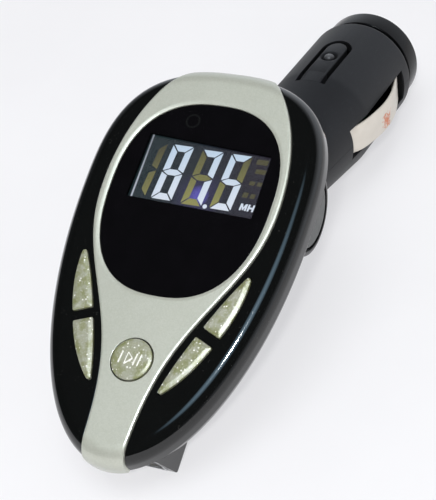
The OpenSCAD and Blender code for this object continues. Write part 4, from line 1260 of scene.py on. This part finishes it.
plug_grey = charcoal("plug_grey")
slot_floor, outside_all = 5.9, 12.5
contact_slots = [brick(s * slot_floor, s * outside_all, leaf_start, leaf_end, -leaf_w / 2 - room,
                       leaf_w / 2 + room)
                 for s in (1, -1)]
pin_hole = rod((0, 0, 0), 2.06, -9, 9, 64, 0)
knuckle = rod((0, 0, 0), knuckle_r, -9.5, 9.5, 96, 0)
beside_knuckle = [brick(s * knuckle_half_w, s * 12, -9, neck_start, -12, 12) for s in (1, -1)]
neck_screw_at = (0, 10.8)
for name, angles, beyond in (("plug_top", (-2, 182), brick(-12, 12, -9, 60, -12, 0)),
                             ("plug_bottom", (178, 362), brick(-12, 12, -9, 60, -seat, 12))):
    take = [*beside_knuckle, beyond, pin_hole, *contact_slots]
    if name == "plug_top":
        take += [prism(slot_line(tongue_half + tongue_gap, tongue_start, tongue_end), 12, 4),
                 rod(neck_screw_at, shank_r, -1, 4.2, 32)]
    else:
        take += [rod(neck_screw_at, shank_r, -12, 1, 32), rod(neck_screw_at, sink_r, -12, -5.3, 48)]
    mesh = cut(name + "_moulding", half_turned(barrel, *angles), ("UNION", knuckle),
               *[("DIFFERENCE", part) for part in take])
    made = moulding(mesh, plug_space, plug_grey)
    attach(made, "plug")
    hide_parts(name)


# Spring tongue: cut free of the upper half on three sides, with a round bump.
# It holds the plug in its socket by pressing outwards.
bump_y = tongue_end - 6.5


def tongue_solid():
    outer, inner = plug_r - 0.01, plug_r - plug_wall
    half, start, end = tongue_half, tongue_start + seat, tongue_end - tongue_gap
    outline = slot_line(half, start, end, 33)
    free = np.array([(half, start - 1), *outline[2:], (-half, start - 1)])
    ring = resampled(outline, 0.22)

    def top(p):
        flare = np.interp(p[:, 1], [neck_start + 1, neck_len], [neck_r, outer])
        high = np.sqrt(flare ** 2 - p[:, 0] ** 2) - eased(gap_to(p, free, False), 0.2)
        away = np.hypot(p[:, 0], p[:, 1] - bump_y)
        dish = 0.42 * (0.5 + 0.5 * np.cos(np.clip((away - 1.15) / 0.75, 0, 1) * np.pi))
        bump = np.sqrt(np.maximum(1.15 ** 2 - away ** 2, 0)) + plug_r - 0.78
        return np.where(away < 1.1, np.maximum(bump, high - dish), high - dish)

    shaping = [moved(ring, g) for g in (0.03, 0.1, 0.2)]
    shaping += [circle(0, bump_y, r, 48)
                for r in (0.02, 0.2, 0.4, 0.6, 0.75, 0.88, 0.98, 1.06, 1.12, 1.25, 1.4, 1.55, 1.7, 1.85)]
    lines = [np.array([(x, a), (x, b)]) for x in np.linspace(-1.6, 1.6, 9)
             for a, b in ((start - 1, bump_y - 2), (bump_y + 2, end + 1))]
    return plate([ring], shaping, top, lambda p: np.sqrt(inner ** 2 - p[:, 0] ** 2), lines)


tongue_piece = piece("tongue_spring", tongue_solid(), plug_space, charcoal("tongue_grey", bump_y), 40)
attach(tongue_piece, "tongue")
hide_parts("spring_tongue")


# Side contacts: bowed strips of nickelled spring brass, one on each side.
# Their crests rub against the socket's wall and wear down to the copper.
leaf_t, leaf_out = 0.4, 1.1
leaf_y_shares = [0.02, 0.07, 0.17, 0.33, 0.52, 0.72, 0.9, 0.965, 0.985]
leaf_x_shares = [0, 0.04, 0.5, 0.83, 1, 0.84, 0.42, 0.2, -0.12]


def smooth_line(points, steps=8):
    """A smooth line through points."""
    p = np.array(points, float)
    p = np.vstack([2 * p[0] - p[1], p, 2 * p[-1] - p[-2]])
    out = []
    for i in range(1, len(p) - 2):
        for k in range(steps):
            t = k / steps
            out.append(0.5 * (2 * p[i] + (p[i + 1] - p[i - 1]) * t
                              + (2 * p[i - 1] - 5 * p[i] + 4 * p[i + 1] - p[i + 2]) * t * t
                              + (3 * p[i] - p[i - 1] - 3 * p[i + 1] + p[i + 2]) * t ** 3))
    return np.array(out + [p[-2]])


def leaf_solid(side):
    low, high = neck_r - 0.1, plug_r + leaf_out - leaf_t
    line = smooth_line([(low + (high - low) * x, leaf_start + (leaf_end - leaf_start) * y)
                        for x, y in zip(leaf_x_shares, leaf_y_shares)])
    run = np.gradient(line, axis=0)
    run /= np.linalg.norm(run, axis=1)[:, None]
    out = np.column_stack([run[:, 1], -run[:, 0]])
    section = rounded([(-leaf_w / 2, 0), (leaf_w / 2, 0), (leaf_w / 2, leaf_t), (-leaf_w / 2, leaf_t)],
                      [0.08, 0.08, 0.14, 0.14], 3)
    tapers = 1 - 0.1 * np.maximum(0, (np.linspace(0, 1, len(line)) - 0.8) / 0.2)
    return skinned([[(side * (p[0] + o[0] * v), p[1] + o[1] * v, u * taper) for u, v in section]
                    for p, o, taper in zip(line, out, tapers)])


def nickelled_brass():
    f = Finish("nickelled_brass", plug_space)
    x, y, z = f.axes()
    lines = f.noise(0.9, 4.0, at=f.stretched(1.0, 0.4, 8.0))
    cloud = f.noise(0.5, 3.0)
    jag = f.noise(1.6, 3.0)
    crest = leaf_start + (leaf_end - leaf_start) * 0.5
    rubbed = (((y - crest) / 1.8) ** 2 + ((z + 0.9) / 1.5) ** 2 + (jag - 0.5) * 6).ramp(0.4, 1.1, 1, 0)
    base = f.mix(cloud, colour(214, 207, 196), colour(228, 222, 212))
    base = f.mix(rubbed, base, colour(214, 132, 96))
    return f.done(f.body(Base_Color=base, Metallic=0.55 + rubbed * 0.2, Roughness=0.34 + lines * 0.15, IOR=1.5,
                         Normal=f.bump(lines + jag * 0.3, 0.25, 0.05)))


leaf_metal = nickelled_brass()
for side, name in ((-1, "left"), (1, "right")):
    mesh = bpy.data.meshes.new(f"contact_{name}")
    verts, faces = leaf_solid(side)
    mesh.from_pydata([plug_space @ Vector(v) for v in verts], [], faces)
    settle(mesh, 0.0005 * MM)
    mesh.materials.append(leaf_metal)
    made = placed(f"contact_{name}_leaf", mesh, 40)
    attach(made, f"contact_{name}")
    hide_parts(f"side_contact_{name}")


# Nose cap: gloss black, screwed into the barrel, with a flange to grip.
# It keeps the fuse and the tip contact in.
flange_w, nose_len, nose_r, tip_r, tip_out = 2.6, 6.6, 5.6, 3.3, 4.0
flange_start = plug_len + 0.9
flange_end = flange_start + flange_w
nose_end = flange_end + nose_len
groove_r, nose_wall, play, seen_r = plug_r - 1.2, 1.4, 0.06, 9.75
along_plug = plug_space @ Matrix.Rotation(-math.pi / 2, 4, "X")
cap_profile = rounded(
    [(tip_r + play, nose_end), (tip_r + play, nose_end - nose_wall), (4.66, nose_end - nose_wall),
     (thread_r - nose_wall, flange_end), (thread_r - nose_wall, plug_len - thread_len),
     (thread_r - play, plug_len - thread_len), (thread_r - play, plug_len + seat), (groove_r, plug_len + seat),
     (groove_r, flange_start), (seen_r, flange_start), (seen_r - 0.1, flange_end + 2.2), (8.2, flange_end + 2.6),
     (nose_r, nose_end)],
    [0.1, 0, 0, 0, 0, 0.2, 0, 0.1, 0.15, 0.4, 0.8, 0.6, 0.6], 6)
nose_black = gloss_plastic("nose_black", plug_space, colour(7, 7, 8), 0.2, 0.12, 1.22, 0.0)
nose_piece = turned("nose_cap_moulding", cap_profile, along_plug, nose_black, 128)
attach(nose_piece, "nose")
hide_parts("nose_cap")


# Tip contact: a turned and nickelled brass button, dulled at its end.
# The spring behind the fuse presses it out of the nose.
tip_back = nose_end - nose_wall - seat - 1.4
tip_end = nose_end + tip_out
dome = [(tip_r * math.cos(a), tip_end - tip_r + tip_r * math.sin(a)) for a in np.linspace(0, math.pi / 2 - 0.002, 16)]
tip_profile = rounded([(0.002, tip_back), (4.6, tip_back), (4.6, tip_back + 1.4), (tip_r, tip_back + 1.4)],
                      [0, 0.2, 0.2, 0.1]) + dome


def worn_nickel():
    f = Finish("worn_nickel", plug_space)
    x, y, z = f.axes()
    rings = f.noise(2.4, 4.0, at=f.stretched(0.2, 4.0, 0.2))
    burn = f.noise(1.2, 4.0).ramp(0.4, 0.7) * y.ramp(tip_end - 1.6, tip_end - 0.3)
    base = f.mix(rings * 0.5, colour(196, 190, 176), colour(214, 209, 198))
    base = f.mix(burn * 0.7, base, colour(108, 94, 78))
    return f.done(f.body(Base_Color=base, Metallic=0.95 - burn * 0.3, Roughness=0.24 + rings * 0.12 + burn * 0.25,
                         Normal=f.bump(rings + burn, 0.2, 0.04)))


tip_piece = turned("tip_button", tip_profile, along_plug, worn_nickel(), 64)
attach(tip_piece, "tip")
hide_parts("tip_contact")


# Fuse: a glass tube with a pressed metal cap on each end.
# It lies between the tip contact and the spring.
def fuse_tube():
    f = Finish("fuse_tube", plug_space)
    x, y, z = f.axes()
    ripple = f.noise(0.8, 2.0)
    wire = (abs(x) < 0.12) * (abs(z) < 0.12)
    return f.done(f.body(Base_Color=f.mix(ripple, colour(214, 226, 228), colour(224, 234, 236)),
                         Roughness=0.03 + ripple * 0.03, IOR=1.5, Transmission_Weight=0.85,
                         Normal=f.bump(ripple, 0.1, 0.02)))


dressed(fuse_tube(), "fuse_glass")
dressed(stamped_metal("fuse_cap_nickel", plug_space, colour(200, 201, 202), 0.18, 1.0, (1.0, 8.0, 1.0)),
        "fuse_cap_front", "fuse_cap_rear")


# Tip spring: five turns of hard drawn wire, wound by a tree along its path.
# It stands on a brass seat that is soldered to the power board.
wire_r, spring_turns, spring_foot, spring_len, tip_travel = 0.3, 5.0, 31.35, 7.6, 2.4
spring_low, spring_high = spring_foot + seat + wire_r, spring_foot + spring_len - seat - wire_r
winder, add, winder_ids = started_tree("wound_spring", {
    "Turns": "Float", "Radius": "Float", "Height": "Float", "Wire radius": "Float", "Finish": "Material"})
path = add("GeometryNodeCurveSpiral", {
    "Resolution": 36, "Rotations": "Turns", "Start Radius": "Radius", "End Radius": "Radius", "Height": "Height"})
wire = add("GeometryNodeCurvePrimitiveCircle", {"Resolution": 12, "Radius": "Wire radius"})
finished_tree(add, add("GeometryNodeCurveToMesh", {"Curve": path, "Profile Curve": wire, "Fill Caps": True}))

spring_steel = stamped_metal("spring_steel", plug_space, colour(158, 160, 164), 0.26, 1.0, (4.0, 4.0, 4.0))
spring_sizes = {"Turns": spring_turns, "Radius": 2.3, "Height": spring_high - spring_low, "Wire radius": wire_r,
                "Finish": spring_steel}
spring_mesh = evaluated("spring", bpy.data.meshes.new("spring"), winder,
                        {winder_ids[label]: value for label, value in spring_sizes.items()})
spring_mesh.transform(along_plug @ Matrix.Translation((0, 0, spring_low)))
settle(spring_mesh, 0.001 * MM)
spring_piece = placed("tip_spring_wire", spring_mesh, 50)
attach(spring_piece, "plug")
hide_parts("tip_spring")
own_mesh(spring_piece)
dressed(stamped_metal("seat_brass", plug_space, colour(206, 168, 92), 0.26), "spring_seat")


# Power board in the barrel with its coil, capacitor and regulator.
# They turn the car's voltage down for the head.
def ferrite():
    f = Finish("ferrite", plug_space)
    grain = f.noise(5.0, 4.0)
    return f.done(f.body(Base_Color=f.mix(grain, colour(44, 44, 46), colour(66, 66, 68)), Roughness=0.5 + grain * 0.2,
                         Normal=f.bump(grain, 0.4, 0.05)))


def shrunk_sleeve():
    f = Finish("shrunk_sleeve", plug_space)
    x, y, z = f.axes()
    film = f.noise(1.0, 3.0)
    end = (y > 25.4) + (y < 16.15)
    stripe = x < -4.0
    base = f.mix(stripe, f.mix(film, colour(26, 28, 66), colour(36, 38, 84)), colour(168, 172, 186))
    base = f.mix(end, base, colour(186, 188, 190))
    return f.done(f.body(Base_Color=base, Metallic=end * 0.8, Roughness=0.3 + film * 0.12,
                         Normal=f.bump(film, 0.15, 0.04)))


def regulator_epoxy():
    f = Finish("regulator_epoxy", plug_space)
    x, y, z = f.axes()
    grain = f.noise(6.0, 4.0)
    tab = y > 36.2
    base = f.mix(tab, f.mix(grain, colour(26, 26, 28), colour(42, 42, 44)), colour(190, 191, 192))
    return f.done(f.body(Base_Color=base, Metallic=tab * 1.0, Roughness=0.55 + grain * 0.12 - tab * 0.25,
                         Normal=f.bump(grain, 0.3, 0.03)))


dressed(circuit_board("power_board_mask", plug_space), "power_board")
dressed(ferrite(), "inductor")
dressed(shrunk_sleeve(), "capacitor")
dressed(regulator_epoxy(), "regulator")


# Table top of pale laminate and a plain white surround.
# A small lamp by the camera and soft light from above.
def laminate():
    f = Finish("pale_laminate")
    fibre = f.noise(0.03, 4.0)
    sheen = f.mix(fibre, colour(242, 242, 245), colour(247, 247, 250))
    lit = f.body(Base_Color=f.mix(fibre, colour(224, 224, 227), colour(230, 230, 233)), IOR=1.3,
                 Roughness=0.6 + fibre * 0.1, Normal=f.bump(fibre, 0.02, 0.1))
    seen_straight = f.node("ShaderNodeLightPath", {}, {}, "Is Camera Ray")
    for ray in ("Is Glossy Ray", "Is Transmission Ray"):
        seen_straight = seen_straight.maths("MAXIMUM", seen_straight, f.node("ShaderNodeLightPath", {}, {}, ray))
    glow = f.node("ShaderNodeEmission", {}, {"Color": sheen, "Strength": 1.05})
    return f.done(f.node("ShaderNodeMixShader", {}, {0: seen_straight * 0.62, 1: lit, 2: glow}))


table = bpy.data.meshes.new("table")
table.from_pydata([(-4, -4, 0), (4, -4, 0), (4, 4, 0), (-4, 4, 0)], [], [(0, 1, 2, 3)])
table.materials.append(laminate())
table_top = linked("table", table)

world = bpy.data.worlds.new("surround")
bpy.context.scene.world = world
world.use_nodes = True
world.node_tree.nodes.clear()


class Surround(Finish):
    """The room, whose nodes are added as a finish's are."""

    def __init__(self, tree):
        self.tree = tree

    def glow(self, tint, strength):
        return self.node("ShaderNodeBackground", {}, {"Color": (*tint, 1), "Strength": strength})


room = Surround(world.node_tree)
rays = [room.node("ShaderNodeLightPath", {}, {}, f"Is {kind} Ray") for kind in ("Camera", "Transmission", "Glossy")]
way = room.node("ShaderNodeTexCoord", {}, {}, "Generated")
sideways, backwards, height = (room.node("ShaderNodeSeparateXYZ", {}, {0: way}, k) for k in range(3))
overhead = (height - backwards * 0.55).ramp(0.0, 0.5, 1.0, 0.02) * sideways.ramp(-0.95, -0.5, 0.06, 1.0)
facing = room.node("ShaderNodeVectorMath", {"operation": "DOT_PRODUCT"}, {0: way, 1: (0.08, -0.33, 0.94)}, 1)
pane = facing.ramp(0.955, 0.999, 0.0, 3.6)
mirrored = room.node("ShaderNodeAddShader", {}, {0: room.glow((0.88, 0.93, 1.0), overhead),
                                                 1: room.glow((0.5, 0.78, 1.0), pane)})
plain = room.node("ShaderNodeMixShader", {}, {0: rays[2], 1: room.glow((0.97, 0.98, 1.0), 0.5), 2: mirrored})
both = room.node("ShaderNodeMixShader", {}, {0: rays[0].maths("MAXIMUM", *rays[:2]), 1: plain,
                                             2: room.glow((0.93, 0.94, 0.96), 1.0)})
room.tree.links.new(both.socket, room.tree.nodes.new("ShaderNodeOutputWorld").inputs[0])

centre = Vector((0, 0, 0.018))


def lamp(name, energy, size, way, away, tint):
    """A round lamp at a distance from the head's middle, which it faces."""
    data = bpy.data.lights.new(name, "AREA")
    data.energy, data.size, data.color, data.shape = energy, size, tint, "DISK"
    made = linked(name, data)
    made.location = centre + way * away
    made.rotation_mode = "QUATERNION"
    made.rotation_quaternion = way.to_track_quat("Z", "Y")
    return made


flash_way = ((eye - centre).normalized() + view_right * -0.07 + view_up * 0.06).normalized()
flash = lamp("flash", 2.1, 0.04, flash_way, 0.6, (1.0, 0.99, 0.96))
above = lamp("ceiling_lamp", 2.0, 0.025, Vector((0.119, -0.419, 0.938)), 0.6, (0.98, 0.99, 1.0))
panel = lamp("ceiling_panel", 2.8, 0.5, Vector((0.06, -0.345, 0.937)), 0.8, (0.98, 0.99, 1.0))
flash.visible_glossy = panel.visible_glossy = above.visible_diffuse = False

bpy.context.scene.view_settings.view_transform = "Standard"
